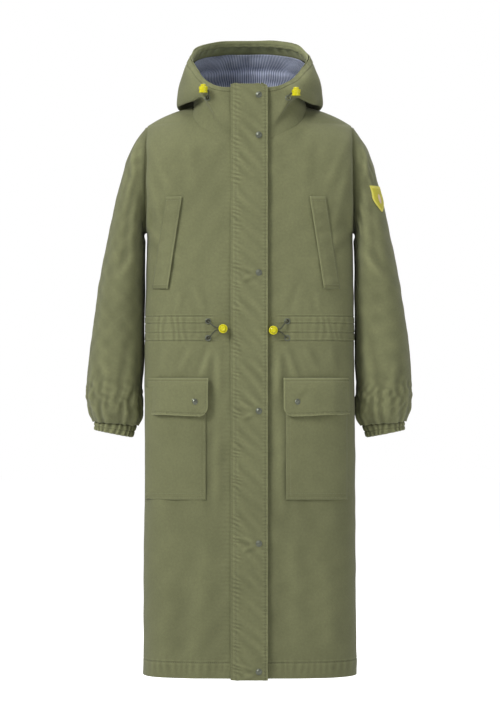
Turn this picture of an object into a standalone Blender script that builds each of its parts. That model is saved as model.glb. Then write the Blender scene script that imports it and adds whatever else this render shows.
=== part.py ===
"""A long hooded cotton parka, hanging open as if worn.

Metres, +Z up, -Y is the front, +X is the wearer's left. The origin is the hanger loop inside the back neck,
which is where the garment hangs. Each physical piece is one named object. Cloth pieces are thin shells that
follow a few shared surface functions: front_y and back_y for the torso, hood_point for the hood and
sleeve_point for the sleeves.
"""

import math

import bmesh
import bpy
import numpy as np
from mathutils import Matrix, Vector

# ---------------------------------------------------------------- driving dimensions

LEFT, RIGHT = 1, -1  # the wearer's sides, as signs of X
SIDE_NAMES = {LEFT: "left", RIGHT: "right"}

MID_Y = -0.075  # side seams and shoulder seams lie in this plane
FRONT_X = -0.007  # the zip line sits a little to the wearer's right
HEM_Z = -1.143
COLLAR_TOP_Z = 0.016
FRONT_Y_TOP, FRONT_Y_HEM = -0.186, -0.212  # the zip line leans forward towards the hem
FRONT_SLOPE = (FRONT_Y_HEM - FRONT_Y_TOP) / (HEM_Z - COLLAR_TOP_Z)

SHELL = 0.0016  # cotton canvas with its interlining
LINING = 0.0010
LINING_INSET = 0.0085
SEAM_GAP = 0.0004  # left between pieces that are sewn together
FRONT_GAP = 0.006  # from the zip line to each front panel's edge
BODY_POWER = 3.5  # how square the torso is in plan
ARM_TOP_Z, ARM_LOW_Z, ARM_DEPTH = -0.052, -0.268, 0.066

# z, half width of the torso
HALF_WIDTH = [(HEM_Z, 0.213), (-0.8, 0.211), (-0.5, 0.2085), (ARM_LOW_Z, 0.2055), (-0.16, 0.204), (-0.05, 0.203)]
# distance from the centre, height of the shoulder line
SHOULDER_LINE = [(0, 0.018), (0.06, 0.008), (0.112, -0.0135), (0.151, -0.0255), (0.184, -0.0405), (0.203, -0.052)]
# z, depth of the back behind the side seams
BACK_DEPTH = [(HEM_Z, 0.127), (-0.8, 0.124), (-0.5, 0.122), (-0.25, 0.128), (-0.12, 0.124), (0.0, 0.119)]
TORSO_ROWS = (0, 0.03, 0.07, 0.12, 0.17, 0.22, 0.28, 0.34, 0.4, 0.55, 0.7, 0.85, 1)
TORSO_COLUMNS = 6
FRONT_ROUND, BACK_ROUND = 0.11, 0.075  # how far below the shoulder line the full depth is reached

# row parameter, distance from the centre, height: the neckline, then the centre edge
NECK_ROW, SQUARE_ROW = 0.2, 0.4
FRONT_INNER = [(0, 0.112, -0.0135), (0.04, 0.1085, -0.036), (0.08, 0.098, -0.0535), (0.12, 0.08, -0.066),
               (0.16, 0.042, -0.084), (NECK_ROW, 0, -0.092)]
BACK_INNER = [(0, 0.112, -0.0135), (0.05, 0.092, -0.0105), (0.1, 0.062, -0.0075), (0.15, 0.03, -0.0062),
              (NECK_ROW, 0, -0.006)]
OUTER_ROW = [(0, ARM_TOP_Z), (0.1, -0.105), (0.2, -0.17), (0.3, -0.235), (0.36, ARM_LOW_Z), (SQUARE_ROW, -0.32)]

# Hood: share of the way from the zip round to the back, then x, y, z of a ring of points
HOOD_UNDER = [(0, 0, -0.189, -0.076), (0.1, 0.044, -0.1880, -0.068), (0.2, 0.080, -0.172, -0.022),
              (0.3, 0.097, -0.150, -0.004), (0.4, 0.107, -0.114, 0.004), (0.5, 0.111, -0.074, 0.008),
              (0.675, 0.092, -0.014, 0.010), (0.85, 0.052, 0.014, 0.012), (1, 0, 0.026, 0.012)]
HOOD_FOLD = [(0, 0, -0.1885, -0.060), (0.1, 0.046, -0.1876, -0.050), (0.2, 0.087, -0.183, -0.004),
             (0.3, 0.112, -0.160, -0.010), (0.4, 0.132, -0.122, -0.014), (0.5, 0.1415, -0.078, -0.0155),
             (0.675, 0.124, -0.002, -0.022), (0.85, 0.070, 0.052, -0.018), (1, 0, 0.070, -0.016)]
HOOD_BULGE = [(0, 0, -0.187, -0.020), (0.1, 0.050, -0.1867, -0.016), (0.2, 0.095, -0.181, 0.008),
              (0.3, 0.122, -0.156, 0.014), (0.4, 0.138, -0.120, 0.016), (0.5, 0.1435, -0.078, 0.014),
              (0.675, 0.128, -0.003, 0.018), (0.85, 0.075, 0.062, 0.030), (1, 0, 0.082, 0.036)]
HOOD_UPPER = [(0, 0, -0.1865, -0.001), (0.1, 0.053, -0.1862, 0.002), (0.2, 0.096, -0.174, 0.022),
              (0.3, 0.120, -0.148, 0.044), (0.4, 0.131, -0.115, 0.055), (0.5, 0.1325, -0.078, 0.056),
              (0.675, 0.116, -0.008, 0.074), (0.85, 0.066, 0.048, 0.088), (1, 0, 0.066, 0.092)]
HOOD_RIM = [(0, 0, -0.186, COLLAR_TOP_Z), (0.1, 0.052, -0.1850, 0.017), (0.2, 0.086, -0.160, 0.034),
            (0.3, 0.109, -0.130, 0.062), (0.4, 0.119, -0.100, 0.082), (0.5, 0.1165, -0.073, 0.094),
            (0.675, 0.094, -0.025, 0.116), (0.85, 0.048, 0.012, 0.127), (1, 0, 0.020, 0.1285)]
HOOD_ROWS = (0, 0.08, 0.16, 0.25, 0.35, 0.48, 0.62, 0.75, 0.88, 1)
HOOD_LEVELS = [0, 0.15, 0.35, 0.6, 0.8, 1]  # neck seam, under, fold, bulge, upper, rim
NECK_RISE = 0.004  # the hood starts this far above the neckline
COLLAR_END = 0.30  # the collar's share of the way round; the hood takes the rest
HOOD_AXIS = (0, MID_Y)
HOOD_PIVOT = (0, 0.03, -0.10)

# Sleeve: share of the length, outer x and z, inner x and z, half depth
SLEEVE = [(0, 0.2080, -0.0575, 0.2090, -0.268, 0.066), (0.06, 0.229, -0.086, 0.2100, -0.272, 0.070),
          (0.14, 0.245, -0.120, 0.2105, -0.278, 0.074), (0.22, 0.2560, -0.160, 0.2110, -0.288, 0.078),
          (0.32, 0.268, -0.205, 0.2115, -0.305, 0.081), (0.42, 0.2790, -0.260, 0.2115, -0.330, 0.083),
          (0.52, 0.292, -0.325, 0.2120, -0.370, 0.084), (0.64, 0.3060, -0.405, 0.2125, -0.430, 0.083),
          (0.76, 0.318, -0.485, 0.2130, -0.500, 0.080), (0.88, 0.3245, -0.560, 0.2135, -0.568, 0.074),
          (0.95, 0.3225, -0.600, 0.2140, -0.608, 0.066), (0.985, 0.3160, -0.628, 0.2170, -0.637, 0.052),
          (1, 0.311, -0.642, 0.224, -0.649, 0.040)]
SLEEVE_POWER = 2.3
SLEEVE_PIVOT = (0.2065, MID_Y, -0.0555)
CUFF_TOP = (0.3095, -0.6435, 0.2255, -0.6505, 0.037)
CUFF_BOTTOM = (0.3100, -0.6600, 0.2340, -0.6750, 0.034)
CUFF_WALL = 0.004

# Closure: x and n are measured in the plane of the zip line, n outwards from the front panels
PLACKET_SEWN_X, PLACKET_FREE_X = -0.0372, 0.0362
PLACKET_TOP_Z, PLACKET_LOW_Z = 0.0218, -1.146
PLACKET_INNER_N, PLACKET_OUTER_N = 0.0065, 0.0090
SNAP_X = 0.0184
SNAP_HEIGHTS = [0.0, -0.079, -0.349, -0.620, -0.879, -1.129]
SNAP_HOLE_R = 0.0027
STUD_HOLE_R = 0.0022
CAP_PROFILE = [(0, 5.5), (2.3, 5.5), (2.3, 4.5), (5.2, 4.5), (5.2, 6.2), (2.2, 6.2), (2.2, 9.3), (6.3, 9.3),
               (6.1, 10.2), (4.2, 11.4), (0, 12.0)]  # radius and n in millimetres
STUD_PROFILE = [(0, -3.3), (4.5, -3.3), (4.5, -2.1), (1.7, -2.1), (1.7, 0.4), (4.4, 0.4), (4.4, 1.4), (1.9, 1.4),
                (1.9, 5.0), (0, 5.0)]
ZIP_TOP_Z, ZIP_LOW_Z = 0.012, -1.10
SLIDER_Z, SLIDER_LONG = 0.003, 0.014

# Pockets, in distances from the zip line
WELT_TOP_Z, WELT_LOW_Z = -0.199, -0.380
WELT_TOP, WELT_LOW = (0.125, 0.157), (0.152, 0.184)
FLAP_INNER, FLAP_OUTER = 0.0735, 0.186
FLAP_TOP_Z, FLAP_LOW_Z, FLAP_CORNER = -0.555, -0.627, 0.018
FLAP_SNAP = (0.099, -0.602)
FLAP_PIVOT_RISE = 0.006
POCKET_INNER, POCKET_OUTER = 0.078, 0.184
POCKET_TOP_Z, POCKET_LOW_Z = -0.574, -0.794
POCKET_STAND = 0.0095

# Drawcords
CORD_R = 0.0013
EYELET_R = 0.0040
EYELET_HEIGHTS = [-0.444, -0.477]
WAIST_EYELET_X = {LEFT: 0.0740, RIGHT: -0.0810}
WAIST_LOCK = {LEFT: (0.0465, -0.462), RIGHT: (-0.0515, -0.459)}
WAIST_CORD_TURN = 0.165
LOCK_R, LOCK_LONG, LOCK_BORE_R, LOCK_BORE = 0.0088, 0.0125, 0.0058, 0.0045
BUTTON_R, BUTTON_LONG = 0.0054, 0.0055
LOCK_SLOT, LOCK_DROP = 0.0048, 0.0019  # height of the cord slot, and its middle below the body's middle
LOCK_N = 0.0075  # height of the waist locks' cord slot over the front panel
LOCK_LANE = 0.0023  # half the distance between the two strands in a waist lock
HOOD_LOCK = {LEFT: (0.0915, -0.1955, 0.004), RIGHT: (-0.0905, -0.1955, 0.010)}
HOOD_EYELET_R, HOOD_EYELET_LEVEL = 0.0046, 0.55
HOOD_EYELET = 0.158  # share of the way round the hood
HOOD_TUNNEL = 0.93  # level of the drawcord's tunnel on the hood

CANVAS = (0.205, 0.208, 0.118)
LINING_BLUE = (0.125, 0.145, 0.205)
LOCK_YELLOW = (0.66, 0.66, 0.05)
SNAP_GREY = (0.16, 0.17, 0.13)


# ---------------------------------------------------------------- curves and surfaces


def follow(table, key):
    """Values at key on the smooth curve through the table's rows, whose first column is the key."""
    rows = np.asarray(table, float)
    keys, values = rows[:, 0], rows[:, 1:]
    slopes = np.gradient(values, keys, axis=0)
    key = np.clip(np.asarray(key, float), keys[0], keys[-1])
    i = np.clip(np.searchsorted(keys, key, side="right") - 1, 0, len(keys) - 2)
    step = (keys[i + 1] - keys[i])[..., None]
    f = ((key - keys[i])[..., None]) / step
    bend = f * f * (3 - 2 * f)
    rise = (f * (1 - f) ** 2 * slopes[i] - f * f * (1 - f) * slopes[i + 1]) * step
    return values[i] * (1 - bend) + values[i + 1] * bend + rise


def rounded(share, power):
    """A quarter of a superellipse: 0 at share 0, 1 from share 1 on, steep at first."""
    left = 1 - np.clip(share, 0, 1)
    return (1 - left**power) ** (1 / power)


def half_width(z, inset):
    return follow(HALF_WIDTH, z)[..., 0] - inset


def shoulder_z(x, inset):
    return follow(SHOULDER_LINE, np.abs(x))[..., 0] - inset


def zip_y(z):
    return FRONT_Y_TOP + (z - COLLAR_TOP_Z) * FRONT_SLOPE


def arm_depth(z, inset):
    """Half depth of the armhole at a height; 0 above and below it."""
    middle, half = (ARM_TOP_Z + ARM_LOW_Z) / 2, (ARM_TOP_Z - ARM_LOW_Z) / 2 - inset
    return (ARM_DEPTH - inset) * rounded(1 - np.abs(z - middle) / half, 2.2)


def body_depth(x, z, depth, rounding, inset):
    """Distance of the torso's surface from the side seams' plane."""
    over = rounded((shoulder_z(x, inset) - z) / rounding, 2)
    across = rounded(1 - np.abs(x) / half_width(z, inset), BODY_POWER)
    arm = arm_depth(z, inset)
    return arm + (over * (depth - inset) - arm) * across


def front_y(x, z, inset=0.0):
    return MID_Y - body_depth(x, z, MID_Y - zip_y(z), FRONT_ROUND, inset)


def back_y(x, z, inset=0.0):
    return MID_Y + body_depth(x, z, follow(BACK_DEPTH, z)[..., 0], BACK_ROUND, inset)


def on_front(x, z, lift):
    """A point lifted off the front panels along their normal."""
    step = 0.001
    slope_x = (front_y(x + step, z) - front_y(x - step, z)) / (2 * step)
    slope_z = (front_y(x, z + step) - front_y(x, z - step)) / (2 * step)
    normal = Vector((slope_x, -1, slope_z)).normalized()
    return Vector((x, front_y(x, z), z)) + normal * lift


def torso_rows(t, inner, side, centre_x, low_z, inset):
    """The inner and outer end of the torso row t, as x and z."""
    neck = follow(inner, min(t, NECK_ROW))
    centre = min(t / NECK_ROW, 1.0)
    x_in = side * (neck[0] - inset * (1 - centre)) + centre_x * centre
    run = (t - NECK_ROW) / (SQUARE_ROW - NECK_ROW)
    if t <= NECK_ROW:
        z_in, z_out = neck[1] - inset, follow(OUTER_ROW, t)[0]
    elif t <= SQUARE_ROW:
        z_in = neck[1] + (OUTER_ROW[-1][1] - neck[1]) * run
        z_out = follow(OUTER_ROW, t)[0]
    else:
        z_in = z_out = OUTER_ROW[-1][1] + (low_z - OUTER_ROW[-1][1]) * (t - SQUARE_ROW) / (1 - SQUARE_ROW)
    if t < NECK_ROW:
        z_out -= inset * (1 - centre)
    return x_in, z_in, side * half_width(z_out, inset), z_out


def torso_grid(surface, inner, side, centre_x, low_z=HEM_Z, inset=0.0, seams=(0.0012, SEAM_GAP)):
    """Points of one half of a front or a back, row by row from the shoulder seam to the hem.

    seams holds the gaps left at the shoulder seam and at the side seam.
    """
    sign = -1 if surface is front_y else 1
    grid = []
    for t in TORSO_ROWS:
        x_in, z_in, x_out, z_out = torso_rows(t, inner, side, centre_x, low_z, inset)
        line = []
        for j in range(TORSO_COLUMNS + 1):
            share = 1 - (1 - j / TORSO_COLUMNS) ** 1.9
            x = x_in + (x_out - x_in) * share
            z = z_in + (z_out - z_in) * share
            chord = np.interp(abs(x), [FRONT_INNER[0][1], SHOULDER_LINE[-1][0]], [FRONT_INNER[0][2], ARM_TOP_Z])
            lift = max(0.0, 1 - t / NECK_ROW) ** 2
            z += (shoulder_z(x, inset) - (chord - inset)) * lift
            y = surface(x, z, inset)
            gap = seams[0] if t == 0 else seams[1] if j == TORSO_COLUMNS else 0.0
            line.append((x, y + sign * gap, z))
        grid.append(line)
    return grid


def neck_seam(share, side):
    """The neckline's point at a share of the way from the zip to the centre back."""
    if share <= 0.5:
        t = NECK_ROW * (1 - share / 0.5)
        x, z = follow(FRONT_INNER, t)
        return np.array((side * x, front_y(side * x, z), z))
    t = NECK_ROW * (share - 0.5) / 0.5
    x, z = follow(BACK_INNER, t)
    return np.array((side * x, back_y(side * x, z), z))


def inward(point):
    """Horizontal unit vector from a hood point towards the hood's middle."""
    way = np.array((HOOD_AXIS[0] - point[0], HOOD_AXIS[1] - point[1], 0.0))
    return way / np.linalg.norm(way)


def zip_shift(share, side):
    """Moves the collar's end from the centre line to the front panel's edge."""
    return (FRONT_X + side * FRONT_GAP) * max(0.0, 1 - share / 0.3)


def hood_rings(share, side):
    """The hood's six control points at one place round the neck."""
    points = [neck_seam(share, side) + np.array((0, 0, NECK_RISE))]
    for table in (HOOD_UNDER, HOOD_FOLD, HOOD_BULGE, HOOD_UPPER, HOOD_RIM):
        x, y, z = follow(table, share)
        points.append(np.array((side * x, y, z)))
    flat = max(0.0, 1 - (share / 0.12) ** 2)
    for point in points:
        point[0] += zip_shift(share, side)
        point[1] += (zip_y(point[2]) - point[1]) * flat
    return points


def hood_point(share, level, side):
    rings = hood_rings(share, side)
    return follow([(key, *point) for key, point in zip(HOOD_LEVELS, rings)], level)


def hood_offset(share, level, side, lift):
    """A hood point lifted off the shell along its normal."""
    step = 0.004
    here = hood_point(share, level, side)
    along = hood_point(min(share + step, 1), level, side) - hood_point(max(share - step, 0), level, side)
    up = hood_point(share, min(level + step, 1), side) - hood_point(share, max(level - step, 0), side)
    normal = np.cross(along, up)
    normal *= side / np.linalg.norm(normal)
    return Vector(here + normal * lift)


def lining_profile(share, side):
    """The hood lining's profile: a smooth bowl from the neck up to the facing."""
    seam, under, _, bulge, upper, rim = hood_rings(share, side)
    rise = np.array((0, 0, 0.006))
    points = [seam + inward(seam) * 0.009 + rise, under + inward(under) * 0.010 + rise * 1.6]
    points.append(under + (bulge - under) * 0.4 + rise * 2.2)
    deep = 0.011 + 0.012 * max(0.0, 1 - share / 0.5)
    points.append(bulge + inward(bulge) * deep + rise)
    low = rise * 3.0 * max(0.0, 1 - share / 0.45)
    points.append(bulge + (upper - bulge) * 0.6 + inward(upper) * deep - low * 0.5)
    points.append(upper + (rim - upper) * 0.04 + inward(upper) * deep - low)
    return [(index / 5, *point) for index, point in enumerate(points)]


def sleeve_section(share):
    """Centre, half-width vector and half depth of the sleeve at a share of its length."""
    outer_x, outer_z, inner_x, inner_z, depth = follow(SLEEVE, share)
    return section(outer_x, outer_z, inner_x, inner_z, depth)


def section(outer_x, outer_z, inner_x, inner_z, depth):
    centre = np.array(((outer_x + inner_x) / 2, MID_Y, (outer_z + inner_z) / 2))
    reach = np.array(((outer_x - inner_x) / 2, 0, (outer_z - inner_z) / 2))
    return centre, reach, depth


def section_point(cut, turn, side, inset=0.0):
    """A point of a flattened oval section; turn 0 is its outer edge and a quarter turn its front."""
    centre, reach, depth = cut
    c, s = math.cos(turn), math.sin(turn)
    c, s = (math.copysign(abs(v) ** (2 / SLEEVE_POWER), v) for v in (c, s))
    wide = 1 - inset / np.linalg.norm(reach)
    point = centre + reach * c * wide + np.array((0, -(depth - inset) * s, 0))
    return point * np.array((side, 1, 1))


def zip_plane(x, z, n):
    """A point in the closure's plane: n outwards from the front panels."""
    slope = math.atan(FRONT_SLOPE)
    return Vector((x, zip_y(z) - n * math.cos(slope), z + n * math.sin(slope)))


# ---------------------------------------------------------------- mesh tools


def clear_scene():
    for obj in list(bpy.data.objects):
        bpy.data.objects.remove(obj, do_unlink=True)


def material(name, colour, roughness, metallic=0.0):
    mat = bpy.data.materials.new(name)
    mat.use_nodes = True
    shader = mat.node_tree.nodes["Principled BSDF"]
    shader.inputs["Base Color"].default_value = (*colour, 1)
    shader.inputs["Roughness"].default_value = roughness
    shader.inputs["Metallic"].default_value = metallic
    return mat


def add_object(name, mesh, look):
    obj = bpy.data.objects.new(name, mesh)
    bpy.context.scene.collection.objects.link(obj)
    if look:
        mesh.materials.append(material(name, *look))
    return obj


def grid_mesh(bm, grid, closed):
    """Adds a grid of points as quads; closed joins its last column to its first."""
    verts = [[bm.verts.new(point) for point in line] for line in grid]
    columns = len(grid[0])
    for upper, lower in zip(verts, verts[1:]):
        for j in range(columns if closed else columns - 1):
            k = (j + 1) % columns
            bm.faces.new((upper[j], upper[k], lower[k], lower[j]))


def sheet(name, grids, thickness, look, middle=(0, MID_Y), closed=False):
    """A cloth piece: grids welded to one surface, thickened towards the middle."""
    bm = bmesh.new()
    for grid in grids:
        grid_mesh(bm, grid, closed)
    bmesh.ops.remove_doubles(bm, verts=bm.verts, dist=0.00002)
    bmesh.ops.recalc_face_normals(bm, faces=bm.faces)
    facing = 0.0
    for face in bm.faces:
        away = face.calc_center_median() - Vector((*middle, 0))
        away.z = 0
        facing += face.normal.dot(away) * face.calc_area()
    if facing < 0:
        bmesh.ops.reverse_faces(bm, faces=bm.faces)
    mesh = bpy.data.meshes.new(name)
    bm.to_mesh(mesh)
    bm.free()
    mesh.shade_smooth()
    obj = add_object(name, mesh, look)
    wall = obj.modifiers.new("thickness", "SOLIDIFY")
    wall.thickness = thickness
    wall.offset = -1
    return obj


def closed_mesh(name, bm, look):
    """Finishes a closed bmesh as an object with its faces pointing out."""
    bmesh.ops.recalc_face_normals(bm, faces=bm.faces)
    mesh = bpy.data.meshes.new(name)
    bm.to_mesh(mesh)
    bm.free()
    mesh.shade_smooth()
    mesh.set_sharp_from_angle(angle=math.radians(35))
    return add_object(name, mesh, look)


def plate(name, outer, inner, look):
    """A closed plate between two grids of the same size."""
    bm = bmesh.new()
    rows, columns = len(outer), len(outer[0])
    tops, lows = ([[bm.verts.new(point) for point in line] for line in grid] for grid in (outer, inner))
    for verts in (tops, lows):
        for i in range(rows - 1):
            for j in range(columns - 1):
                bm.faces.new((verts[i][j], verts[i][j + 1], verts[i + 1][j + 1], verts[i + 1][j]))
    edge = [(0, j) for j in range(columns)] + [(i, columns - 1) for i in range(1, rows)]
    edge += [(rows - 1, j) for j in range(columns - 2, -1, -1)] + [(i, 0) for i in range(rows - 2, 0, -1)]
    for a, b in zip(edge, edge[1:] + edge[:1]):
        bm.faces.new((tops[a[0]][a[1]], tops[b[0]][b[1]], lows[b[0]][b[1]], lows[a[0]][a[1]]))
    return closed_mesh(name, bm, look)


def frame_matrix(origin, axis):
    """Places local Z along an axis at a point."""
    return Matrix.Translation(origin) @ Vector(axis).to_track_quat("Z", "Y").to_matrix().to_4x4()


def turned(name, profile, origin, axis, look, segments=10):
    """A turned piece: its profile is radius and height in metres, from pole to pole."""
    bm = bmesh.new()
    rings = []
    for radius, height in profile:
        if radius == 0:
            rings.append([bm.verts.new((0, 0, height))])
            continue
        angles = [2 * math.pi * k / segments for k in range(segments)]
        rings.append([bm.verts.new((radius * math.cos(a), radius * math.sin(a), height)) for a in angles])
    for low, high in zip(rings, rings[1:]):
        for k in range(segments):
            m = (k + 1) % segments
            corners = [low[k % len(low)], low[m % len(low)], high[m % len(high)], high[k % len(high)]]
            bm.faces.new(list(dict.fromkeys(corners)))
    bm.transform(frame_matrix(origin, axis))
    return closed_mesh(name, bm, look)


def millimetres(profile):
    return [(radius / 1000, height / 1000) for radius, height in profile]


def extruded(name, outline, start, end, look):
    """A straight bar: outline is x and n, the ends are heights on the zip line."""
    bm = bmesh.new()
    rings = [[bm.verts.new(zip_plane(x, z, n)) for x, n in outline] for z in (start, end)]
    count = len(outline)
    for k in range(count):
        m = (k + 1) % count
        bm.faces.new((rings[0][k], rings[0][m], rings[1][m], rings[1][k]))
    for ring in rings:
        bm.faces.new(ring)
    return closed_mesh(name, bm, look)


def punch(bm, origin, axis, radius, reach=0.014):
    """Adds the cylinder that cuts a round hole."""
    matrix = frame_matrix(origin, axis)
    bmesh.ops.create_cone(bm, cap_ends=True, segments=10, radius1=radius, radius2=radius, depth=reach, matrix=matrix)


def drill(obj, places, radius, reach):
    """Cuts a round hole through an object at each point and axis."""
    bm = bmesh.new()
    for origin, axis in places:
        punch(bm, origin, axis, radius, reach)
    cut(obj, bm)


def cut(obj, bm):
    """Subtracts a bmesh from an object, as a hidden cutter."""
    mesh = bpy.data.meshes.new("cutter_" + obj.name)
    bm.to_mesh(mesh)
    bm.free()
    cutter = add_object("cutter_" + obj.name, mesh, None)
    cutter.hide_render = True
    cutter.display_type = "WIRE"
    boolean = obj.modifiers.new("holes", "BOOLEAN")
    boolean.operation = "DIFFERENCE"
    boolean.solver = "EXACT"
    boolean.object = cutter


def cord(name, points, radius, look, count):
    """A cord along a smooth curve through its route's points."""
    keys = np.cumsum([0] + [(Vector(b) - Vector(a)).length for a, b in zip(points, points[1:])])
    table = [(key, *point) for key, point in zip(keys, points)]
    data = bpy.data.curves.new(name, "CURVE")
    data.dimensions = "3D"
    data.bevel_depth = radius
    data.bevel_resolution = 2
    data.use_fill_caps = True
    spline = data.splines.new("POLY")
    spline.points.add(count - 1)
    for k in range(count):
        spline.points[k].co = (*follow(table, keys[-1] * k / (count - 1)), 1)
    obj = bpy.data.objects.new(name, data)
    bpy.context.scene.collection.objects.link(obj)
    data.materials.append(material(name, *look))
    return obj


def move_origin(obj, pivot):
    """Puts an object's origin on its joint's axis without moving its shape."""
    shift = Vector(pivot) - obj.location
    obj.data.transform(Matrix.Translation(-shift))
    obj.location = pivot


# ---------------------------------------------------------------- torso


def make_front(side):
    edge = FRONT_X + side * FRONT_GAP
    grid = torso_grid(front_y, FRONT_INNER, side, edge)
    panel = sheet(f"front_{SIDE_NAMES[side]}_panel", [grid], SHELL, (CANVAS, 0.9))
    bm = bmesh.new()
    holes = [(on_front(WAIST_EYELET_X[side], z, 0), EYELET_R) for z in EYELET_HEIGHTS]
    if side == LEFT:
        holes += [(zip_plane(SNAP_X, z, 0), STUD_HOLE_R) for z in SNAP_HEIGHTS[2:]]
    for origin, radius in holes:
        punch(bm, origin, (0, -1, 0), radius)
    cut(panel, bm)


def make_back():
    halves = [torso_grid(back_y, BACK_INNER, side, 0) for side in (LEFT, RIGHT)]
    sheet("back_panel", halves, SHELL, (CANVAS, 0.9))


def make_body_lining():
    grids = []
    for side in (LEFT, RIGHT):
        edge = FRONT_X + side * 0.012
        options = dict(low_z=HEM_Z + 0.035, inset=LINING_INSET, seams=(0.0012, 0))
        grids.append(torso_grid(front_y, FRONT_INNER, side, edge, **options))
        grids.append(torso_grid(back_y, BACK_INNER, side, 0, **options))
    sheet("body_lining", grids, LINING, (LINING_BLUE, 0.8))


def make_collar(side):
    shares = [0.001 + (COLLAR_END - 0.007) * k / 6 for k in range(7)]
    grid = [[hood_point(share, level, side) for share in shares] for level in HOOD_ROWS]
    collar = sheet(f"collar_{SIDE_NAMES[side]}", [grid], SHELL, (CANVAS, 0.9))
    bm = bmesh.new()
    hole = hood_offset(HOOD_EYELET, HOOD_EYELET_LEVEL, side, 0)
    out = (hood_offset(HOOD_EYELET, HOOD_EYELET_LEVEL, side, 1) - hole).normalized()
    punch(bm, hole, out, HOOD_EYELET_R)
    if side == LEFT:
        for z in SNAP_HEIGHTS[:2]:
            punch(bm, zip_plane(SNAP_X, z, 0), (0, -1, 0), STUD_HOLE_R)
    cut(collar, bm)


def make_hanger_loop():
    """A flat strap whose ends are sewn to the back neck and whose middle stands off it."""
    half, drop, thick, width = 0.022, 0.005, 0.0014, 0.005
    grid = []
    for k in range(13):
        share = 2 * k / 12 - 1
        y = -0.0022 - 0.0028 * (1 - share * share)
        z = -drop * share * share
        grid.append([(half * share, y, z), (half * share, y, z - width)])
    sheet("hanger_loop", [grid], thick, (CANVAS, 0.85), middle=(0, 0.1))


def make_zip():
    tape = [(0.8, 0.7), (2.8, 0.7), (2.8, -0.4), (5.6, -0.4), (5.6, -1.4), (2.8, -1.4), (2.8, -2.3), (0.8, -2.3)]
    for side in (LEFT, RIGHT):
        outline = [(FRONT_X + side * x / 1000, n / 1000) for x, n in tape]
        extruded(f"zip_chain_{SIDE_NAMES[side]}", outline, ZIP_TOP_Z, ZIP_LOW_Z, ((0.1, 0.1, 0.09), 0.5))
    half = [(5.5, 0.9), (5.5, 2.3), (1.2, 2.3), (1.2, 3.0)]
    back = [(5.5, -4.0), (5.5, -2.8), (0.5, -2.8), (0.5, 0.9)]
    right = [(FRONT_X + x / 1000, n / 1000) for x, n in back + half]
    left = [(2 * FRONT_X - x, n) for x, n in reversed(right)]
    look = ((0.35, 0.34, 0.3), 0.3, 1.0)
    slider = extruded("zip_slider", right + left, SLIDER_Z + SLIDER_LONG / 2, SLIDER_Z - SLIDER_LONG / 2, look)
    move_origin(slider, zip_plane(FRONT_X, SLIDER_Z, 0))
    pull_outline = [(FRONT_X + x / 1000, n / 1000) for x, n in [(-3, 3.4), (3, 3.4), (3, 4.6), (-3, 4.6)]]
    pull = extruded("zip_pull", pull_outline, SLIDER_Z, SLIDER_Z - 0.022, look)
    move_origin(pull, zip_plane(FRONT_X, SLIDER_Z, 0.004))


def make_snap_studs():
    for index, z in enumerate(SNAP_HEIGHTS, 1):
        axis = zip_plane(0, 0, 1) - zip_plane(0, 0, 0)
        turned(f"snap_stud_{index}", millimetres(STUD_PROFILE), zip_plane(SNAP_X, z, 0), axis, (SNAP_GREY, 0.35, 1), 8)


# ---------------------------------------------------------------- storm placket


def placket_edge(z):
    """The free edge's x, with a rounded upper corner."""
    corner = 0.008
    below = min(max((PLACKET_TOP_Z - z) / corner, 0), 1)
    return PLACKET_FREE_X - corner + corner * math.sqrt(1 - (1 - below) ** 2)


def make_placket():
    heights = [PLACKET_TOP_Z - 0.008 * (1 - math.cos(math.pi / 2 * k / 3)) for k in range(4)]
    heights += [PLACKET_TOP_Z - 0.008 + (PLACKET_LOW_Z - PLACKET_TOP_Z + 0.008) * k / 12 for k in range(1, 13)]
    ramp = [(0, 0.0031), (0.05, 0.0042), (0.22, PLACKET_OUTER_N), (0.6, PLACKET_OUTER_N), (1, PLACKET_OUTER_N)]
    thick = PLACKET_OUTER_N - PLACKET_INNER_N
    outer, inner = [], []
    for z in heights:
        edge = placket_edge(z)
        xs = [PLACKET_SEWN_X + (edge - PLACKET_SEWN_X) * share for share, _ in ramp]
        outer.append([zip_plane(x, z, n) for x, (_, n) in zip(xs, ramp)])
        inner.append([zip_plane(x, z, n - thick) for x, (_, n) in zip(xs, ramp)])
    placket = plate("storm_placket", outer, inner, (CANVAS, 0.9))
    drill(placket, [(zip_plane(SNAP_X, z, 0.008), (0, -1, 0)) for z in SNAP_HEIGHTS], SNAP_HOLE_R, 0.012)
    move_origin(placket, zip_plane(PLACKET_SEWN_X, 0, 0.0008))
    axis = zip_plane(0, 0, 1) - zip_plane(0, 0, 0)
    for index, z in enumerate(SNAP_HEIGHTS, 1):
        cap = turned(f"snap_cap_{index}", millimetres(CAP_PROFILE), zip_plane(SNAP_X, z, 0), axis, (SNAP_GREY, 0.3, 1))
        move_origin(cap, placket.location)


# ---------------------------------------------------------------- pockets


def make_welt(side):
    outer, inner = [], []
    for i in range(7):
        down = i / 6
        z = WELT_TOP_Z + (WELT_LOW_Z - WELT_TOP_Z) * down
        near = WELT_TOP[0] + (WELT_LOW[0] - WELT_TOP[0]) * down
        far = WELT_TOP[1] + (WELT_LOW[1] - WELT_TOP[1]) * down
        xs = [FRONT_X + side * (near + (far - near) * j / 3) for j in range(4)]
        outer.append([on_front(x, z, 0.0060) for x in xs])
        inner.append([on_front(x, z, 0.0034) for x in xs])
    plate(f"chest_welt_{SIDE_NAMES[side]}", outer, inner, (CANVAS, 0.9))


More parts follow.
